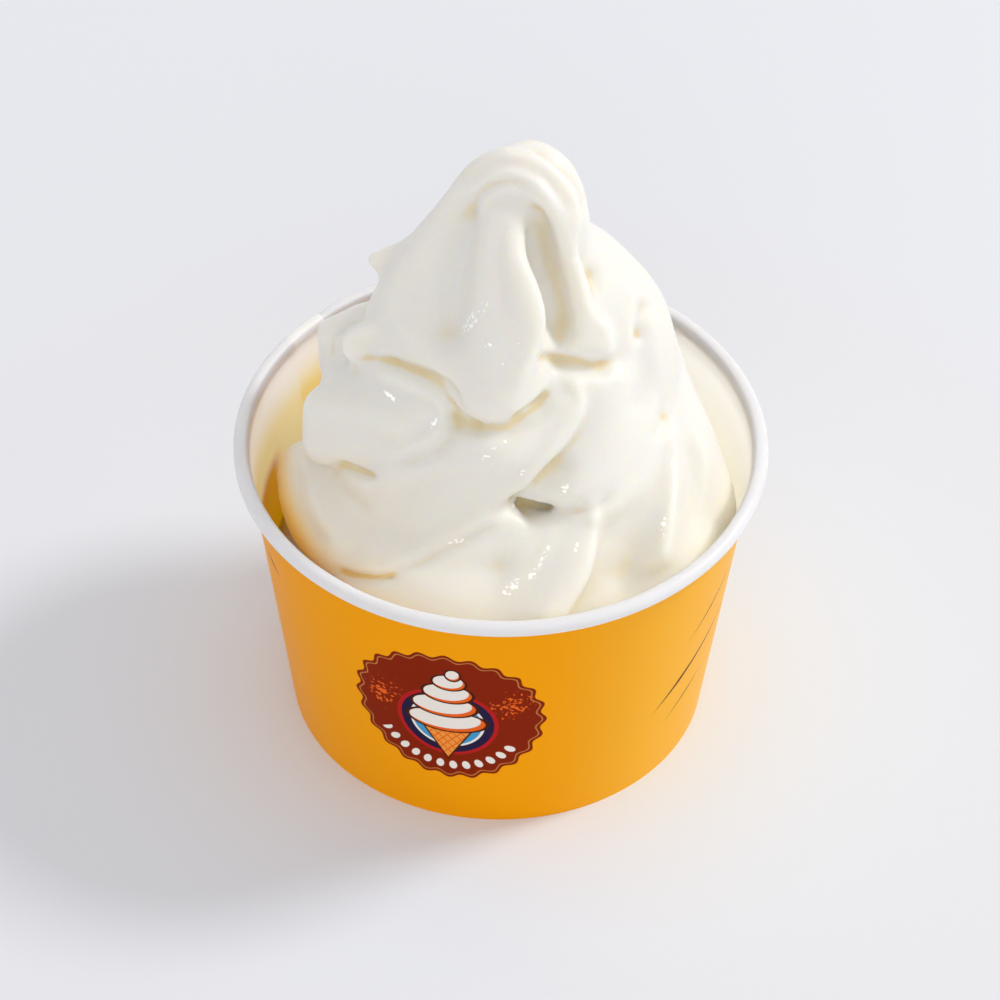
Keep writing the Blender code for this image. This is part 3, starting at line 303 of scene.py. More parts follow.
# Colours, as linear red, green and blue
CREAM = (0.885, 0.86, 0.79)
# Painted shade: warm, darker cream for creases and low in the cup
CREAM_PAINTED_SHADE = (0.88, 0.70, 0.30)
# Painted orange light on the cream beside the cup wall
GLOW_BY_WALL = (0.93, 0.58, 0.08)
PAPER_WHITE = (0.92, 0.885, 0.845)
# Painted light: the paper lighter and warmer inside the cup
PAPER_PAINTED_LIGHT_INSIDE = (0.985, 0.95, 0.87)
# Painted orange light low on the inside at the left
PAPER_PAINTED_ORANGE_LIGHT = (0.98, 0.555, 0.20)
# Painted shade in the narrow gap between the ice cream and the wall
PAPER_PAINTED_SHADE = (0.5, 0.06, 0.0)
# Colours of a painted glow of daylight through the paper, given as emission
THROUGH_RIGHT = (1.0, 0.85, 0.4)
THROUGH_LEFT = (1.0, 0.55, 0.12)
ORANGE = (0.98, 0.375, 0.0)
# Painted light: lighter orange on the cup's lit right side
ORANGE_PAINTED_LIGHT = (0.99, 0.48, 0.03)
BADGE_BROWN = (0.25, 0.016, 0.0)
BADGE_TAN = (0.55, 0.2, 0.05)
BADGE_ORANGE = (0.86, 0.13, 0.012)
BADGE_WAFFLE = (0.92, 0.33, 0.05)
BADGE_CREAM = (0.90, 0.84, 0.76)
BADGE_RED = (0.50, 0.012, 0.012)
BADGE_NAVY = (0.02, 0.012, 0.05)
BADGE_BLUE = (0.06, 0.33, 0.58)
INK_BROWN = (0.06, 0.012, 0.004)
FLOOR = (0.79, 0.81, 0.835)
# Painted light: the floor lighter and bluer near the cup
FLOOR_PAINTED_LIGHT = (0.80, 0.885, 0.955)
WHITE = (1.0, 1.0, 1.0)

# Where the looks change, from no effect to full effect: heights (Z), places across (X) and back (Y)
# and distances from the cup's axis (REACH), in mm
SHADE_LOW_Z = (72.0, 40.0)
GLOW_REACH = (36.0, 40.5)
GLOW_Z = (62.0, 50.0)
GLOW_X = (-26.0, -37.0)
INSIDE_REACH = (46.0, 45.3)
INSIDE_Z = (10.0, 20.0)
LEFT_X = (38.0, -38.0)
LOW_Z = (56.0, 45.5)
DEEP_Z = (44.0, 40.0)
DEEP_Y = (17.0, 11.0)
DEEP_X = (-20.0, -30.0)
LOW_RIGHT_Z = (52.0, 42.0)
LOW_RIGHT_X = (20.0, 36.0)
FLOOR_REACH = (115.0, 40.0)

# Painted shade on the cream, warm and darker: in a crease, low in the cup, and in clouds of this size
SHADE_HOLLOW = (0.2, 1.1)
SHADE_LOW_SHARE = 0.4
SHADE_LOW = 0.15
CLOUD_SIZE = 14.0
CLOUD_RANGE = 0.5
# Light scattered under the surface: share, reach in mm, and how far red, green and blue go
CREAM_SCATTER = 0.9
CREAM_SCATTER_REACH = 2.6
CREAM_SCATTER_COLOUR = (1.0, 0.8, 0.45)
PAPER_SCATTER_REACH = 1.0
PAPER_SCATTER_INSIDE = 5.0
PAPER_SCATTER_COLOUR = (1.0, 0.9, 0.7)
# Painted glow, given as emission, for daylight through the paper: all over its inside, more at the left,
# and more low at the right
THROUGH = 0.07
THROUGH_LEFT_MORE = 0.03
THROUGH_LOW_RIGHT_MORE = 0.12
# Grain of the cream and the paper: sizes of fine and coarse features in mm, roughness at least and
# its range, their heights, and the unit of those heights in mm
CREAM_GRAIN = (0.5, 2.4, 0.3, 0.24, 1.0, 2.0, 0.035)
PRINT_GRAIN = (0.6, 9.0, 0.28, 0.08, 0.15, 3.0, 0.05)
WHITE_GRAIN = (0.45, 7.0, 0.38, 0.12, 0.3, 2.0, 0.05)
PRINT_SPECULAR = 0.03

# Round badge printed on the wall
BADGE_TURN = math.radians(-12.3)
BADGE_HEIGHT = 29.5
BADGE_RADIUS = 17.5
BADGE_SCALLOPS = 24
BADGE_SCALLOP_DEPTH = 0.5
BADGE_LINE_INSET = 0.8
BADGE_LINE_WIDTH = 0.28
WALL_SLANT = 1.0097
# Print: width of a soft edge of ink in mm, and the turns, in radians, where the orange is lighter, as
# painted light on the right side
INK_EDGE = 0.06
STROKE_EDGE = 0.05
PAINTED_LIGHT_FROM = (0.1, 0.9)
PAINTED_LIGHT_TO = (3.1, 1.9)

# Badge picture, in mm from the badge's centre: rings (radius, colour) from the outside in
BADGE_RINGS = [(9.4, BADGE_RED), (8.6, BADGE_NAVY), (6.9, BADGE_CREAM), (6.4, BADGE_BLUE)]
BADGE_RING_CENTRE = (0.0, -1.6)
CONE_TIP = (0.0, -11.9)
CONE_TOP = -2.4
CONE_HALF_WIDTH = 4.9
WAFFLE_PITCH = 1.7
WAFFLE_LINE = 0.32
WAFFLE_SLANT = 0.8
# Swirl in the cone: rolls (across, up, half width, half height) from the lowest up
SWIRL_ROLLS = [(0.0, -1.2, 7.0, 2.9), (-0.4, 3.0, 5.7, 2.8), (0.3, 6.8, 4.3, 2.5), (0.6, 10.1, 2.8, 2.0),
               (1.3, 12.4, 1.2, 1.4)]
# Shade under each roll: how far left and up its light part stands, as shares of its half sizes
ROLL_SHADE = (0.12, 0.25)
OUTLINE = 0.34
BEAD_RING = 14.1
BEAD_PITCH = 2.5
BEAD_SIZE = (0.75, 1.15)
BEAD_ARC = math.radians(58.0)
# Orange flecks scattered on the badge: patches (across, up, reach), size and how sharp they are in
# mm, how much noise shows as a fleck, and how fast flecks get fewer outward
FLECK_PATCHES = [(-12.0, 2.5, 3.4), (11.8, 4.5, 3.6)]
FLECK_SIZE = 0.7
FLECK_EDGE = 0.01
FLECK_LEVEL = 0.46
FLECK_FADE = 0.16

# Painted glints on the ice cream, given as emission: size of a speck in mm and its squash, brightness,
# the noise that shows as a speck, its fade at a patch's edge, and how far toward the viewer, in mm, glints
# begin
GLINT_SIZE = 0.7
GLINT_SQUASH = (1.0, 1.0, 1.6)
GLINT_STRENGTH = 0.4
GLINT_LEVEL = (0.56, 0.64)
GLINT_FADE = (1.0, 0.5)
GLINT_TOWARD = (8.0, 14.0)
# Their patches, seen along the sight line: across, up, half length, half breadth, lean in degrees
GLINTS = [(-4.9, 21, 4.2, 1, 52), (-2.4, 16.1, 0.8, 0.4, 20), (0, 12.6, 0.6, 0.3, 60),
          (2.6, 16.3, 0.6, 0.3, 60), (-19.5, 7.1, 2, 0.45, -40), (-11.9, 2.5, 1.3, 0.5, 60),
          (-2.1, -2.8, 2, 0.6, 45), (0.5, -0.8, 0.8, 0.4, 45), (3.9, -5.9, 0.8, 0.5, 50),
          (11.1, -8.7, 2, 0.8, 60), (2.8, -11.5, 0.8, 0.5, 40), (-7.4, -18.2, 2.2, 0.5, 10),
          (-11.9, -19.6, 1.5, 0.5, 20), (13.5, -18.9, 1.5, 0.4, 80), (7.9, -20.5, 2.6, 0.5, 65),
          (6.1, -23.7, 1.6, 0.8, 50), (2.1, -26.3, 3.3, 1, 42), (29, -15.1, 2.6, 0.9, 75)]

# Thin dark strokes printed on the wall: turn from, turn to (degrees), heights at start, middle and
# end, widest in mm, and where along it is widest
PRINT_STROKES = [
    (76.0, 53.8, 42.8, 38.3, 33.4, 0.5, 0.6),
    (78.0, 44.0, 30.9, 26.4, 18.7, 0.95, 0.72),
    (66.5, 49.4, 19.6, 17.0, 13.2, 0.45, 0.5),
    (-72.0, -63.8, 44.6, 43.4, 42.4, 0.8, 0.5),
]

# Floor: half its breadth in mm, and the size, strength and darkness of its soft patches
FLOOR_HALF = 3000.0
FLOOR_PATCH = 60.0
FLOOR_PATCH_SHARE = 0.1
FLOOR_DARKER = 0.95

# Surroundings, and lights: place and breadth in metres, power in watts, and colour
WORLD_COLOUR = (0.96, 0.957, 0.99)
WORLD_STRENGTH = 0.74
LIGHTS = {"key": ((1.6, 0.5, 1.65), 0.6, 22.5, (1.0, 0.99, 0.985)),
          "fill": ((0.0, -1.6, 0.75), 1.2, 3.2, WHITE)}
LIGHT_AIM = (0.0, 0.0, 0.07)


def from_sight(across, up, toward):
    """World place, in mm, of a station given along the sight line."""
    sin_e, cos_e = math.sin(SIGHT_ELEVATION), math.cos(SIGHT_ELEVATION)
    scale = 1.0 - toward / SIGHT_DISTANCE
    across, up = across * scale, up * scale
    return (across, sin_e * up - cos_e * toward, CUP_HEIGHT + cos_e * up + sin_e * toward)


def around(degrees, distance):
    """Two coordinates of a place at a turn, in degrees, and a distance from the centre."""
    angle = math.radians(degrees)
    return distance * math.cos(angle), distance * math.sin(angle)


def seen_parts(back, up):
    """Up and toward parts, along the sight line, of the back and up parts of a place or a way."""
    sin_e, cos_e = math.sin(SIGHT_ELEVATION), math.cos(SIGHT_ELEVATION)
    return back * sin_e + up * cos_e, up * sin_e - back * cos_e


def curve_through(stations, step):
    """Points along a smooth curve through the stations, about one step apart."""
    rows = np.array(stations, float)
    padded = np.vstack([2 * rows[0] - rows[1], rows, 2 * rows[-1] - rows[-2]])
    points = []
    for before, start, end, after in zip(padded, padded[1:], padded[2:], padded[3:]):
        count = max(2, int(np.linalg.norm(end[:3] - start[:3]) / step))
        for t in np.arange(count) / count:
            points.append(0.5 * (2 * start + (end - before) * t
                                 + (2 * before - 5 * start + 4 * end - after) * t ** 2
                                 + (3 * start - before - 3 * end + after) * t ** 3))
    points.append(rows[-1])
    return np.array(points)


def add_skin(bm, loops):
    """Faces from each loop of vertices to the next, and over both ends."""
    for low, high in zip(loops, loops[1:]):
        for k in range(len(low)):
            nxt = (k + 1) % len(low)
            bm.faces.new((low[k], low[nxt], high[nxt], high[k]))
    bm.faces.new(loops[0][::-1])
    bm.faces.new(loops[-1])


def add_rope(bm, stations):
    """A tube with round ends through stations (x, y, z, radius) in mm."""
    path = curve_through(stations, ROPE_STEP)
    centres, radii = path[:, :3], path[:, 3]
    ahead = np.gradient(centres, axis=0)
    ahead /= np.linalg.norm(ahead, axis=1)[:, None]
    caps = []
    for end, sign in ((0, -1), (-1, 1)):
        cap = []
        for degrees in ROPE_CAP_DEG:
            radius, beyond = around(degrees, radii[end])
            cap.append((centres[end] + sign * ahead[end] * beyond, radius, ahead[end]))
        caps.append(cap)
    sections = caps[0] + list(zip(centres, radii, ahead)) + caps[1][::-1]
    side = Vector((0, 0, 1)).cross(Vector(sections[0][2]))
    if side.length < NEARLY_UPRIGHT:
        side = Vector((1, 0, 0))
    loops = []
    for centre, radius, direction in sections:
        direction = Vector(direction)
        side = (side - direction * side.dot(direction)).normalized()
        other = direction.cross(side)
        loop = []
        for k in range(ROPE_SIDES):
            c, s = around(360.0 * k / ROPE_SIDES, float(radius))
            loop.append(bm.verts.new((Vector(centre) + c * side + s * other) * MM))
        loops.append(loop)
    add_skin(bm, loops)


def add_fold(bm, rails):
    """Ropes side by side, close enough to make one sheet between neighbouring rails."""
    add_rope(bm, rails[0])
    for rail, following in zip(rails, rails[1:]):
        here, there = (resampled(r, WEB_STATIONS) for r in (rail, following))
        apart = np.linalg.norm(here[:, :3] - there[:, :3], axis=1).max()
        count = max(1, math.ceil(apart / WEB_STEP))
        for k in range(1, count + 1):
            add_rope(bm, here + (there - here) * k / count)


def resampled(stations, count):
    """The smooth curve through the stations, as an even number of stations along its length."""
    path = curve_through(stations, ROPE_STEP)
    steps = np.linalg.norm(np.diff(path[:, :3], axis=0), axis=1)
    along = np.concatenate([[0.0], np.cumsum(steps)])
    marks = np.linspace(0.0, along[-1], count)
    return np.stack([np.interp(marks, along, column) for column in path.T], axis=1)


def wall_radius(height):
    """Outer radius of the paper wall, in mm, at a height above the table."""
    curl_height = CUP_HEIGHT - CURL_RADIUS
    top = RIM_OUTER_RADIUS - 2 * CURL_RADIUS + PAPER
    return FOOT_OUTER_RADIUS + (top - FOOT_OUTER_RADIUS) * height / curl_height


def add_object(name, data):
    """Puts a mesh, light or camera in the scene."""
    obj = bpy.data.objects.new(name, data)
    bpy.context.scene.collection.objects.link(obj)
    return obj


def filled_mesh(name, bm):
    """A mesh from a bmesh, which is used up."""
    mesh = bpy.data.meshes.new(name)
    bm.to_mesh(mesh)
    bm.free()
    return mesh


def smooth_object(name, mesh, *materials):
    """A smooth-shaded object in the scene, with these materials."""
    for material in materials:
        mesh.materials.append(material)
    mesh.shade_smooth()
    return add_object(name, mesh)


def add_fill(bm):
    """The lower part of the filling, which takes the shape of the cup."""
    rings = []
    for height in (BASE_TOP, FILL_LEVEL):
        radius = wall_radius(height) - PAPER
        places = [around(360.0 * k / CUP_SIDES, radius) for k in range(CUP_SIDES)]
        rings.append([bm.verts.new((x * MM, y * MM, height * MM)) for x, y in places])
    add_skin(bm, rings)


def ice_cream_blank():
    """Overlapping closed ropes and core, before they are fused."""
    bm = bmesh.new()
    add_fill(bm)
    for rails in FOLDS.values():
        add_fold(bm, [[(*from_sight(*row[:3]), row[3]) for row in rail] for rail in rails])
    for stations in CORE:
        add_rope(bm, stations)
    for stations in BACK:
        add_rope(bm, [(*around(turn, distance), z, r) for turn, distance, z, r in stations])
    return bm


def neighbours_mean(co, edges):
    """Mean place of each vertex's neighbours."""
    total = np.zeros_like(co)
    count = np.bincount(edges.ravel(), minlength=len(co))
    for axis in range(3):
        total[:, axis] = (np.bincount(edges[:, 0], co[edges[:, 1], axis], len(co))
                          + np.bincount(edges[:, 1], co[edges[:, 0], axis], len(co)))
    return total / count[:, None]


def vertex_normals(co, quads):
    """Unit normals of a quad mesh's vertices."""
    cross = np.cross(co[quads[:, 2]] - co[quads[:, 0]], co[quads[:, 3]] - co[quads[:, 1]])
    normals = np.zeros_like(co)
    for corner in range(4):
        for axis in range(3):
            normals[:, axis] += np.bincount(quads[:, corner], cross[:, axis], len(co))
    return normals / np.maximum(np.linalg.norm(normals, axis=1), TINY)[:, None]


def relax(co, edges, quads, rounds, fill, wear):
    """Round the mesh off: hollows fill by one share each round, ridges wear by another."""
    for _ in range(rounds):
        pull = neighbours_mean(co, edges) - co
        outward = np.sum(pull * vertex_normals(co, quads), axis=1)
        co = co + np.where(outward > 0, fill, wear)[:, None] * pull
    return co


def both_sides(width):
    """Widths of a stroke to the left and right of its way, given as a pair or as one number."""
    return width if isinstance(width, tuple) else (width, width)


def stroke_heights(co, normals, strokes):
    """How far each vertex moves out, in mm, for lines worked into the seen side."""
    up, toward = seen_parts(co[:, 1], co[:, 2] - CUP_HEIGHT)
    scale = 1.0 - toward / SIGHT_DISTANCE
    seen = np.stack([co[:, 0] / scale, up / scale], axis=1)
    facing = np.clip(seen_parts(normals[:, 1], normals[:, 2])[1] / FULL_FACING, 0, 1)
    cell = np.floor(seen / SEEN_CELL).astype(int)
    cell -= cell.min(axis=0) - 1
    nearest = np.full(cell.max(axis=0) + 2, -FAR)
    np.maximum.at(nearest, (cell[:, 0], cell[:, 1]), toward)
    in_front = toward > nearest[cell[:, 0], cell[:, 1]] - SEEN_DEPTH
    shift = np.zeros(len(co))
    for depth, width, lip, points in strokes:
        line = curve_through([(x, y, 0, 0) for x, y in points], STROKE_STEP)[:, :2]
        away = np.full(len(co), FAR)
        place = np.zeros(len(co))
        side = np.zeros(len(co))
        for k, (start, end) in enumerate(zip(line, line[1:])):
            run = end - start
            offset = seen - start
            t = np.clip((offset @ run) / (run @ run), 0, 1)
            gap = offset - t[:, None] * run
            distance = np.hypot(gap[:, 0], gap[:, 1])
            closer = distance < away
            place = np.where(closer, (k + t) / (len(line) - 1), place)
            side = np.where(closer, np.sign(run[0] * offset[:, 1] - run[1] * offset[:, 0]), side)
            away = np.where(closer, distance, away)
        fade = np.clip(np.minimum(place, 1 - place) / STROKE_TAPER, 0, 1)
        fade = fade * fade * (3.0 - 2.0 * fade)
        left, right = both_sides(width)
        crease = -depth * np.exp(-(away / np.where(side > 0, left, right)) ** 2)
        from_lip = (away - LIP_PLACE * left) / (LIP_WIDTH * left)
        rise = lip * (side > 0) * np.exp(-from_lip ** 2)
        shift += fade * (crease + rise)
    return shift * facing * in_front


def clamp_to_cup(co):
    """Keep the ice cream a gap clear of the paper wall and base."""
    co = co.copy()
    co[:, 2] = np.maximum(co[:, 2], BASE_TOP + GAP)
    inner = (wall_radius(co[:, 2]) - PAPER) * math.cos(math.pi / CUP_SIDES) - GAP
    radius = np.hypot(co[:, 0], co[:, 1])
    outside = (co[:, 2] < CUP_HEIGHT) & (radius > inner)
    shrink = np.where(outside, inner / np.maximum(radius, TINY), 1.0)
    co[:, :2] *= shrink[:, None]
    return co


def fused(mesh, voxel):
    """One skin round the overlapping bodies of a mesh, as mesh, coordinates in mm, edges and quads."""
    blank = add_object("blank", mesh)
    remesh = blank.modifiers.new("fuse", "REMESH")
    remesh.mode = "VOXEL"
    remesh.voxel_size = voxel * MM
    depsgraph = bpy.context.evaluated_depsgraph_get()
    skin = bpy.data.meshes.new_from_object(blank.evaluated_get(depsgraph))
    bpy.data.objects.remove(blank)
    bpy.data.meshes.remove(mesh)
    co = np.empty(len(skin.vertices) * 3)
    skin.vertices.foreach_get("co", co)
    edges = np.empty(len(skin.edges) * 2, dtype=np.int64)
    skin.edges.foreach_get("vertices", edges)
    quads = np.empty(len(skin.polygons) * 4, dtype=np.int64)
    skin.polygons.foreach_get("vertices", quads)
    return skin, co.reshape(-1, 3) / MM, edges.reshape(-1, 2), quads.reshape(-1, 4)


def ice_cream_piece(material):
    """The filling and its swirl, finely meshed."""
    mesh, co, edges, quads = fused(filled_mesh("blank", ice_cream_blank()), VOXEL)
    co = relax(co, edges, quads, MELT_ROUNDS, MELT_FILL, MELT_WEAR)
    normals = vertex_normals(co, quads)
    co = co + stroke_heights(co, normals, STROKES)[:, None] * normals
    mesh.vertices.foreach_set("co", (co * MM).astype(np.float32).ravel())
    mesh, co, edges, quads = fused(mesh, VOXEL)
    co = relax(co, edges, quads, SMOOTH_ROUNDS, SMOOTH_FILL, SMOOTH_WEAR)
    co = clamp_to_cup(co)
    co[:, 2] = np.minimum(co[:, 2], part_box("ice_cream")[1].z / MM)
    # Crease depth, which the cream's material turns into painted shade
    hollow = hollowness(co, edges, quads) + painted_crease_shade(co, vertex_normals(co, quads))
    mesh.vertices.foreach_set("co", (co * MM).astype(np.float32).ravel())
    attribute = mesh.attributes.new("hollow", "FLOAT", "POINT")
    attribute.data.foreach_set("value", hollow.astype(np.float32))
    mesh.materials.clear()
    obj = smooth_object("ice_cream_swirl", mesh, material)
    reduce = obj.modifiers.new("reduce", "DECIMATE")
    reduce.ratio = min(1.0, MOST_TRIANGLES / (2 * len(quads)))
    return obj


def hollowness(co, edges, quads):
    """How deep in a crease each vertex lies, from 0 to 1, measured at two scales."""
    normals = vertex_normals(co, quads)
    smooth = co
    total = np.zeros(len(co))
    done = 0
    for rounds, reach in HOLLOW_SCALES:
        for _ in range(rounds - done):
            smooth = smooth + HOLLOW_STEP * (neighbours_mean(smooth, edges) - smooth)
        done = rounds
        total += np.clip(np.sum((smooth - co) * normals, axis=1) / reach, 0, 1)
    return np.clip(total / HOLLOW_FULL, 0, 1)


def painted_crease_shade(co, normals):
    """How far each vertex lies in one of the narrow creases, about 0 to 1, for more painted shade there."""
    narrow = [(depth, min(both_sides(width)) * SHADE_CREASE_WIDTH, 0.0, points)
              for depth, width, _, points in STROKES
              if depth > SHADE_CREASE_DEPTH and min(both_sides(width)) < SHADE_CREASE_NARROW]
    return np.clip(-stroke_heights(co, normals, narrow) * SHADE_CREASE_SHARE, 0, 1)


def lap_offsets(turn_deg):
    """How far the wall's inner and outer faces stand out, in mm, where the blank laps over itself."""
    before = [LAP_DEG - LAP_EASE_DEG, LAP_DEG - LAP_EDGE_DEG]
    inner = np.interp(turn_deg, before + [LAP_DEG], [0.0, PAPER, 0.0])
    end = LAP_DEG + LAP_ARC_DEG
    outer = np.interp(turn_deg, before + [end, end + LAP_EDGE_DEG], [0.0, PAPER, PAPER, 0.0])
    return inner, outer


def wall_profile(inner, outer):
    """Section (radius, height) of the wall, from its outer foot round the curl to the fold."""
    curl_centre = (RIM_OUTER_RADIUS - CURL_RADIUS, CUP_HEIGHT - CURL_RADIUS)
    slot = 2 * GAP + BASE_PAPER

    def on_curl(radius, angle_deg):
        out, up = around(angle_deg, radius)
        return (curl_centre[0] + out, curl_centre[1] + up)

    count = round((180.0 - CURL_END_DEG) / CURL_STEP_DEG)
    angles = [180.0 - CURL_STEP_DEG * k for k in range(count + 1)]
    rise = [curl_centre[1] * k / WALL_RINGS for k in range(WALL_RINGS)]
    section = [(wall_radius(z) + outer, z) for z in rise]
    section += [on_curl(CURL_RADIUS - PAPER - outer, angle) for angle in angles]
    section += [on_curl(CURL_RADIUS - inner, angle) for angle in reversed(angles)]
    section += [(wall_radius(z) - PAPER + inner, z) for z in reversed(rise) if z > PAPER]
    section += [
        (wall_radius(PAPER) - PAPER, PAPER),
        (wall_radius(PAPER) - PAPER - slot, PAPER),
        (wall_radius(FOLD_HEIGHT) - PAPER - slot, FOLD_HEIGHT),
        (wall_radius(FOLD_HEIGHT) - 2 * PAPER - slot, FOLD_HEIGHT),
        (wall_radius(0) - 2 * PAPER - slot, 0.0),
    ]
    return section


def cup_piece(white, printed):
    """Side wall of one paper blank: rolled out at the rim, folded in at the foot."""
    end = LAP_DEG + LAP_ARC_DEG
    steps = [LAP_DEG - LAP_EDGE_DEG, LAP_DEG, end, end + LAP_EDGE_DEG]
    even = [360.0 * k / CUP_SIDES for k in range(CUP_SIDES)]
    turns = sorted(steps + [t for t in even if min(abs(t - step) for step in steps) > LAP_CLEAR_DEG])
    bm = bmesh.new()
    loops = []
    for turn in turns:
        c, s = around(turn, 1.0)
        section = wall_profile(*lap_offsets(turn))
        loops.append([bm.verts.new((r * c * MM, r * s * MM, z * MM)) for r, z in section])
    for here, there in zip(loops, loops[1:] + loops[:1]):
        for k in range(len(here)):
            nxt = (k + 1) % len(here)
            face = bm.faces.new((here[k], there[k], there[nxt], here[nxt]))
            face.material_index = 1 if k < WALL_RINGS else 0
    bmesh.ops.recalc_face_normals(bm, faces=bm.faces)
    obj = smooth_object("paper_cup", filled_mesh("paper_cup", bm), white, printed)
    obj.data.set_sharp_from_angle(angle=math.radians(SHARP_DEG))
    return obj


class Field:
    """A number that varies over a surface, worked out by shader nodes."""

    def __init__(self, socket):
        self.tree = socket.id_data
        self.socket = socket

    def math(self, operation, *others):
        node = self.tree.nodes.new("ShaderNodeMath")
        node.operation = operation
        for slot, value in zip(node.inputs, (self,) + others):
            feed(slot, value)
        return Field(node.outputs[0])

    def __add__(self, other):
        return self.math("ADD", other)

    def __sub__(self, other):
        return self.math("SUBTRACT", other)

    def __mul__(self, other):
        return self.math("MULTIPLY", other)

    def __truediv__(self, other):
        return self.math("DIVIDE", other)

    def least(self, other):
        return self.math("MINIMUM", other)

    def most(self, other):
        return self.math("MAXIMUM", other)

    def size(self):
        return self.math("ABSOLUTE")

    def ramp(self, low, high):
        """0 at low and below, 1 at high and above, smooth between."""
        node = self.tree.nodes.new("ShaderNodeMapRange")
        node.interpolation_type = "SMOOTHSTEP"
        feed(node.inputs["Value"], self)
        node.inputs["From Min"].default_value = low
        node.inputs["From Max"].default_value = high
        return Field(node.outputs["Result"])

    def inside(self, edge):
        """1 where a distance in mm is below zero, with an edge of ink that is a little soft."""
        return self.ramp(edge, -edge)


def feed(slot, value):
    """Gives an input a field, the output of a node or a plain value."""
    if isinstance(value, Field):
        value = value.socket
    if isinstance(value, bpy.types.NodeSocket):
        slot.id_data.links.new(value, slot)
    else:
        slot.default_value = value


def hypotenuse(a, b):
    """Long side over two square ones, as fields."""
    return (a * a + b * b).math("SQRT")


def mixed(amount, under, over):
    """Colour socket that goes from under to over with a field. Either may be a colour."""
    node = amount.tree.nodes.new("ShaderNodeMix")
    node.data_type = "RGBA"
    node.clamp_factor = True
    slots = {slot.identifier: slot for slot in [*node.inputs, *node.outputs]}
    feed(slots["Factor_Float"], amount)
    for name, value in (("A_Color", under), ("B_Color", over)):
        feed(slots[name], (*value, 1.0) if isinstance(value, tuple) else value)
    return slots["Result_Color"]


def place(shader):
    """The point's own x, y and z in mm, as fields, and all three as one vector."""
    tree = shader.id_data
    coords = tree.nodes.new("ShaderNodeTexCoord")
    scale = tree.nodes.new("ShaderNodeVectorMath")
    scale.operation = "SCALE"
    scale.inputs["Scale"].default_value = 1.0 / MM
    feed(scale.inputs[0], coords.outputs["Object"])
    split = tree.nodes.new("ShaderNodeSeparateXYZ")
    feed(split.inputs[0], scale.outputs[0])
    return [Field(split.outputs[k]) for k in range(3)] + [scale.outputs[0]]


def noise(vector, size, detail, squash=None):
    """Noise with features about the given size in mm, as a field from 0 to 1."""
    tree = vector.id_data
    node = tree.nodes.new("ShaderNodeTexNoise")
    node.inputs["Scale"].default_value = 1.0 / size
    node.inputs["Detail"].default_value = detail
    if squash:
        scale = tree.nodes.new("ShaderNodeVectorMath")
        scale.operation = "MULTIPLY"
        scale.inputs[1].default_value = squash
        feed(scale.inputs[0], vector)
        vector = scale.outputs[0]
    feed(node.inputs["Vector"], vector)
    return Field(node.outputs["Fac"])


def add_bump(shader, height, unit):
    """Gives a shader bumps from a field of heights, in units of so many mm."""
    node = shader.id_data.nodes.new("ShaderNodeBump")
    node.inputs["Strength"].default_value = 1.0
    node.inputs["Distance"].default_value = unit * MM
    feed(node.inputs["Height"], height)
    feed(shader.inputs["Normal"], node.outputs["Normal"])


def add_paper_grain(shader, vector, grain):
    """Fibres and slow waves of the paper, as bumps and uneven roughness."""
    fine_size, coarse_size, least, span, fine_height, coarse_height, unit = grain
    fibre = noise(vector, fine_size, detail=3.0)
    wave = noise(vector, coarse_size, detail=1.0)
    feed(shader.inputs["Roughness"], fibre * span + least)
    add_bump(shader, fibre * fine_height + wave * coarse_height, unit)


def blank_material(name, roughness):
    """A new material and its shader."""
    material = bpy.data.materials.new(name)
    material.use_nodes = True
    shader = material.node_tree.nodes["Principled BSDF"]
    shader.inputs["Roughness"].default_value = roughness
    return material, shader


def painted_glint_field(x, y, z, vector):
    """Painted glints: small bright specks along short lines on the seen side, from 0 to 1."""
    up, toward = seen_parts(y, z - CUP_HEIGHT)
    glint_patch = None
    for across, height, length, breadth, lean in GLINTS:
        c, s = around(lean, 1.0)
        right, above = x - across, up - height
        spot = hypotenuse((right * c + above * s) / length, (above * c - right * s) / breadth)
        glint_patch = spot if glint_patch is None else glint_patch.least(spot)
    specks = noise(vector, GLINT_SIZE, detail=0.0, squash=GLINT_SQUASH).ramp(*GLINT_LEVEL)
    return specks * glint_patch.ramp(*GLINT_FADE) * toward.ramp(*GLINT_TOWARD)


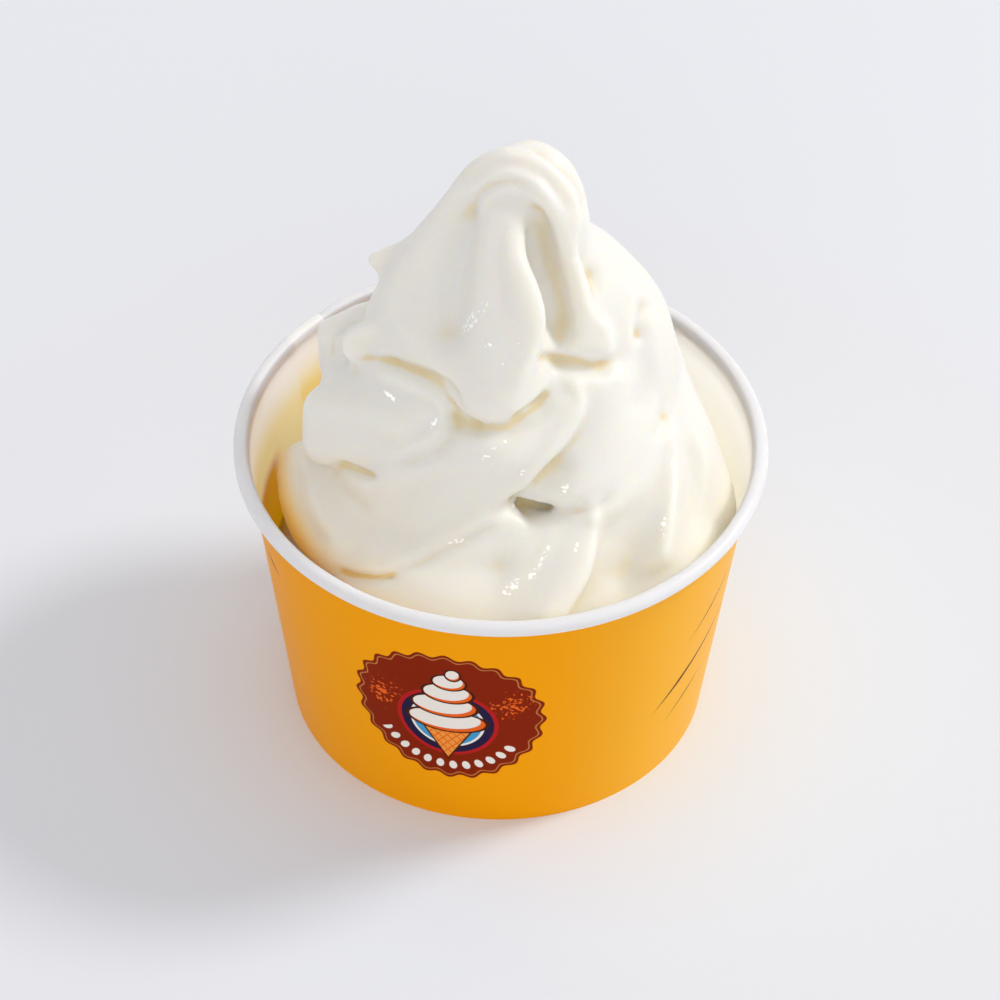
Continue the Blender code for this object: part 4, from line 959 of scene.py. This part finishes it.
def ice_cream_material():
    """Creamy and moist, painted warm shade in creases and low down, painted light by the wall, painted
    glints.
    """
    material, shader = blank_material("ice_cream", roughness=0.42)
    x, y, z, vector = place(shader)
    attribute = material.node_tree.nodes.new("ShaderNodeAttribute")
    attribute.attribute_name = "hollow"
    hollow = Field(attribute.outputs["Fac"])
    # Painted shade: the cream turns warmer and darker in creases and low in the cup, varied in clouds
    low = z.ramp(*SHADE_LOW_Z)
    # Painted orange light on the cream close to the wall at the left
    painted_wall_light = hypotenuse(x, y).ramp(*GLOW_REACH) * z.ramp(*GLOW_Z) * x.ramp(*GLOW_X)
    clouds = noise(vector, CLOUD_SIZE, detail=1.0) * CLOUD_RANGE + (1.0 - 0.5 * CLOUD_RANGE)
    creases = hollow.ramp(*SHADE_HOLLOW) * (low * SHADE_LOW_SHARE + (1.0 - SHADE_LOW_SHARE))
    colour = mixed((creases + low * SHADE_LOW) * clouds, CREAM, CREAM_PAINTED_SHADE)
    colour = mixed(painted_wall_light, colour, GLOW_BY_WALL)
    feed(shader.inputs["Base Color"], colour)
    shader.inputs["Subsurface Weight"].default_value = CREAM_SCATTER
    shader.inputs["Subsurface Radius"].default_value = CREAM_SCATTER_COLOUR
    shader.inputs["Subsurface Scale"].default_value = CREAM_SCATTER_REACH * MM
    fine_size, coarse_size, least, span, fine_height, coarse_height, unit = CREAM_GRAIN
    fine = noise(vector, fine_size, detail=3.0)
    coarse = noise(vector, coarse_size, detail=2.0)
    feed(shader.inputs["Roughness"], coarse * span + least)
    add_bump(shader, fine * fine_height + coarse * coarse_height, unit)
    # Painted glints, given as white emission
    glints = painted_glint_field(x, y, z, vector) * GLINT_STRENGTH
    feed(shader.inputs["Emission Strength"], glints)
    shader.inputs["Emission Color"].default_value = (*WHITE, 1.0)
    return material


def layer(colour, distance, ink, edge=INK_EDGE):
    """Lays an ink over a colour where a distance in mm is below zero."""
    return mixed(distance.inside(edge), colour, ink)


def oval(u, v, across, up, half_width, half_height):
    """Distance in mm from an oval's edge, about right near it."""
    reach = hypotenuse((u - across) / half_width, (v - up) / half_height)
    return (reach - 1.0) * min(half_width, half_height)


def badge_layers(colour, u, v, vector):
    """A round scalloped badge with a swirl in a cone before rings, a row of beads and flecks."""
    reach = hypotenuse(u, v)
    angle = v.math("ARCTAN2", u)
    edge = reach - ((angle * BADGE_SCALLOPS).math("COSINE") * BADGE_SCALLOP_DEPTH + BADGE_RADIUS)
    colour = layer(colour, edge, BADGE_BROWN)
    colour = layer(colour, (edge + BADGE_LINE_INSET).size() - 0.5 * BADGE_LINE_WIDTH, BADGE_TAN)
    specks = noise(vector, FLECK_SIZE, detail=4.0) * -1.0 + FLECK_LEVEL
    for across, up, size in FLECK_PATCHES:
        patch = hypotenuse(u - across, v - up) * (FLECK_FADE / size) + specks
        colour = layer(colour, patch, BADGE_ORANGE, FLECK_EDGE)
    for radius, ink in BADGE_RINGS:
        across, up = BADGE_RING_CENTRE
        colour = layer(colour, hypotenuse(u - across, v - up) - radius, ink)
    along = (angle * (BEAD_RING / BEAD_PITCH)).math("FRACT") * BEAD_PITCH
    bead = oval(along, reach, 0.5 * BEAD_PITCH, BEAD_RING, *BEAD_SIZE)
    arc = ((angle + 0.5 * math.pi).size() - BEAD_ARC) * BEAD_RING
    colour = layer(colour, bead.most(arc), BADGE_CREAM)
    lean = CONE_HALF_WIDTH / (CONE_TOP - CONE_TIP[1])
    cone = (u.size() - (v - CONE_TIP[1]) * lean) * math.cos(math.atan(lean))
    cone = cone.most(v - CONE_TOP)
    colour = layer(colour, cone - OUTLINE, INK_BROWN)
    colour = layer(colour, cone, BADGE_WAFFLE)
    for way in (1.0, -1.0):
        cross = ((u * way + v * WAFFLE_SLANT) / WAFFLE_PITCH).math("FRACT") - 0.5
        line = cross.size() * WAFFLE_PITCH - 0.5 * WAFFLE_LINE
        colour = layer(colour, cone.most(line), BADGE_ORANGE)
    for across, up, half_width, half_height in SWIRL_ROLLS:
        left, above = ROLL_SHADE[0] * half_width, ROLL_SHADE[1] * half_height
        roll = oval(u, v, across, up, half_width, half_height)
        light = oval(u, v, across - left, up + above, half_width, half_height)
        colour = layer(colour, roll - OUTLINE, INK_BROWN)
        colour = layer(colour, roll, BADGE_ORANGE)
        colour = layer(colour, roll.most(light), BADGE_CREAM)
    return colour


def print_layers(turn, height, vector):
    """Colour of the print on the wall, as a colour socket: orange, painted lighter on the right, a badge
    and thin strokes.
    """
    u = (turn - BADGE_TURN) * wall_radius(BADGE_HEIGHT)
    v = (height - BADGE_HEIGHT) * WALL_SLANT
    # Painted light: the orange is lighter on the right side of the cup
    colour = mixed(turn.ramp(*PAINTED_LIGHT_FROM) * turn.ramp(*PAINTED_LIGHT_TO), ORANGE, ORANGE_PAINTED_LIGHT)
    colour = badge_layers(colour, u, v, vector)
    for from_deg, to_deg, start, middle, end, widest, peak in PRINT_STROKES:
        share = (turn * (180.0 / math.pi) - from_deg) / (to_deg - from_deg)
        bend = 2.0 * (start + end - 2.0 * middle)
        slope = end - start - bend
        line = share * (share * bend + slope) + start
        tilt = (end - start) / (math.radians(abs(to_deg - from_deg)) * wall_radius(middle))
        width = (share / peak).least((share * -1.0 + 1.0) / (1.0 - peak)) * (0.5 * widest)
        gap = (height - line).size() * math.cos(math.atan(tilt)) - width
        ends = (share - 0.5).size() - 0.5
        colour = layer(colour, gap.most(ends), INK_BROWN, STROKE_EDGE)
    return colour


def printed_material():
    """Coated paper with orange ink, a round badge and a few thin strokes."""
    material, shader = blank_material("printed_paper", roughness=0.3)
    x, y, z, vector = place(shader)
    turn = x.math("ARCTAN2", y * -1.0)
    colour = print_layers(turn, z, vector)
    feed(shader.inputs["Base Color"], colour)
    shader.inputs["Specular IOR Level"].default_value = PRINT_SPECULAR
    add_paper_grain(shader, vector, PRINT_GRAIN)
    return material


def white_paper_material():
    """Uncoated white paper, painted warm and orange light and shade deep in the cup, a little painted
    daylight.
    """
    material, shader = blank_material("white_paper", roughness=0.45)
    x, y, z, vector = place(shader)
    within = hypotenuse(x, y).ramp(*INSIDE_REACH) * z.ramp(*INSIDE_Z)
    left = x.ramp(*LEFT_X)
    # Painted light: the paper is lighter and warmer inside the cup
    colour = mixed(within, PAPER_WHITE, PAPER_PAINTED_LIGHT_INSIDE)
    # Painted orange light low on the inside wall at the left
    colour = mixed(within * left * z.ramp(*LOW_Z), colour, PAPER_PAINTED_ORANGE_LIGHT)
    # Painted shade, dark orange, low in the narrow gap at the front left
    deep = within * z.ramp(*DEEP_Z) * y.ramp(*DEEP_Y) * x.ramp(*DEEP_X)
    colour = mixed(deep, colour, PAPER_PAINTED_SHADE)
    feed(shader.inputs["Base Color"], colour)
    reach = within * PAPER_SCATTER_INSIDE * MM + PAPER_SCATTER_REACH * MM
    shader.inputs["Subsurface Weight"].default_value = 1.0
    shader.inputs["Subsurface Radius"].default_value = PAPER_SCATTER_COLOUR
    feed(shader.inputs["Subsurface Scale"], reach)
    # Painted glow, given as emission, of daylight through the paper inside the cup
    low_right = z.ramp(*LOW_RIGHT_Z) * x.ramp(*LOW_RIGHT_X)
    daylight = left * THROUGH_LEFT_MORE + low_right * THROUGH_LOW_RIGHT_MORE + THROUGH
    through = within * (deep * -1.0 + 1.0) * daylight
    feed(shader.inputs["Emission Strength"], through)
    feed(shader.inputs["Emission Color"], mixed(left, THROUGH_RIGHT, THROUGH_LEFT))
    add_paper_grain(shader, vector, WHITE_GRAIN)
    return material


def floor_piece():
    """Plain pale floor, with painted light a little lighter and bluer by the cup."""
    material, shader = blank_material("pale_floor", roughness=0.6)
    x, y, _, vector = place(shader)
    patches = noise(vector, FLOOR_PATCH, detail=2.0) * FLOOR_PATCH_SHARE
    colour = mixed(patches, FLOOR, tuple(FLOOR_DARKER * c for c in FLOOR))
    # Painted light: the floor is lighter and bluer near the cup, against the orange light the cup bounces
    colour = mixed(hypotenuse(x, y).ramp(*FLOOR_REACH), colour, FLOOR_PAINTED_LIGHT)
    feed(shader.inputs["Base Color"], colour)
    bm = bmesh.new()
    half = FLOOR_HALF * MM
    corners = ((-half, -half, 0), (half, -half, 0), (half, half, 0), (-half, half, 0))
    bm.faces.new([bm.verts.new(corner) for corner in corners])
    obj = smooth_object("floor", filled_mesh("floor", bm), material)


def camera_piece():
    """Camera at the photograph's viewing angle."""
    sin_e, cos_e = math.sin(CAMERA_ELEVATION), math.cos(CAMERA_ELEVATION)
    back = Vector((0, -cos_e, sin_e))
    right, up = Vector((1, 0, 0)), Vector((0, sin_e, cos_e))
    across = math.cos(CAMERA_ROLL) * right + math.sin(CAMERA_ROLL) * up
    upward = math.cos(CAMERA_ROLL) * up - math.sin(CAMERA_ROLL) * right
    camera = add_object("camera", bpy.data.cameras.new("camera"))
    camera.data.lens = CAMERA_LENS
    turn = Matrix((across, upward, back)).transposed().to_4x4()
    turn.translation = (Vector((0, 0, CAMERA_TARGET_HEIGHT)) + back * CAMERA_DISTANCE) * MM
    camera.matrix_world = turn
    bpy.context.scene.camera = camera


def soft_light(name, spot, size, power, colour):
    """Round area light aimed at the swirl."""
    data = bpy.data.lights.new(name, "AREA")
    data.shape = "DISK"
    data.size = size
    data.energy = power
    data.color = colour
    obj = add_object(name, data)
    obj.location = spot
    obj.rotation_euler = (Vector(spot) - Vector(LIGHT_AIM)).to_track_quat("Z", "Y").to_euler()


def studio():
    """Even pale surroundings, a soft key light from the right, a little behind, and a weak fill."""
    world = bpy.data.worlds.new("studio")
    world.use_nodes = True
    background = world.node_tree.nodes["Background"]
    background.inputs["Color"].default_value = (*WORLD_COLOUR, 1.0)
    background.inputs["Strength"].default_value = WORLD_STRENGTH
    bpy.context.scene.world = world
    for name, (spot, size, power, colour) in LIGHTS.items():
        soft_light(name, spot, size, power, colour)
    bpy.context.scene.view_settings.view_transform = "Standard"


camera_piece()
studio()
floor_piece()

printed = printed_material()
white = white_paper_material()
cream = ice_cream_material()

cup = cup_piece(white, printed)
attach(cup, "root")
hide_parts("cup_wall")

swirl = ice_cream_piece(cream)
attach(swirl, "root")
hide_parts("ice_cream")

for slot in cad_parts["cup_base"].material_slots:
    slot.material = white
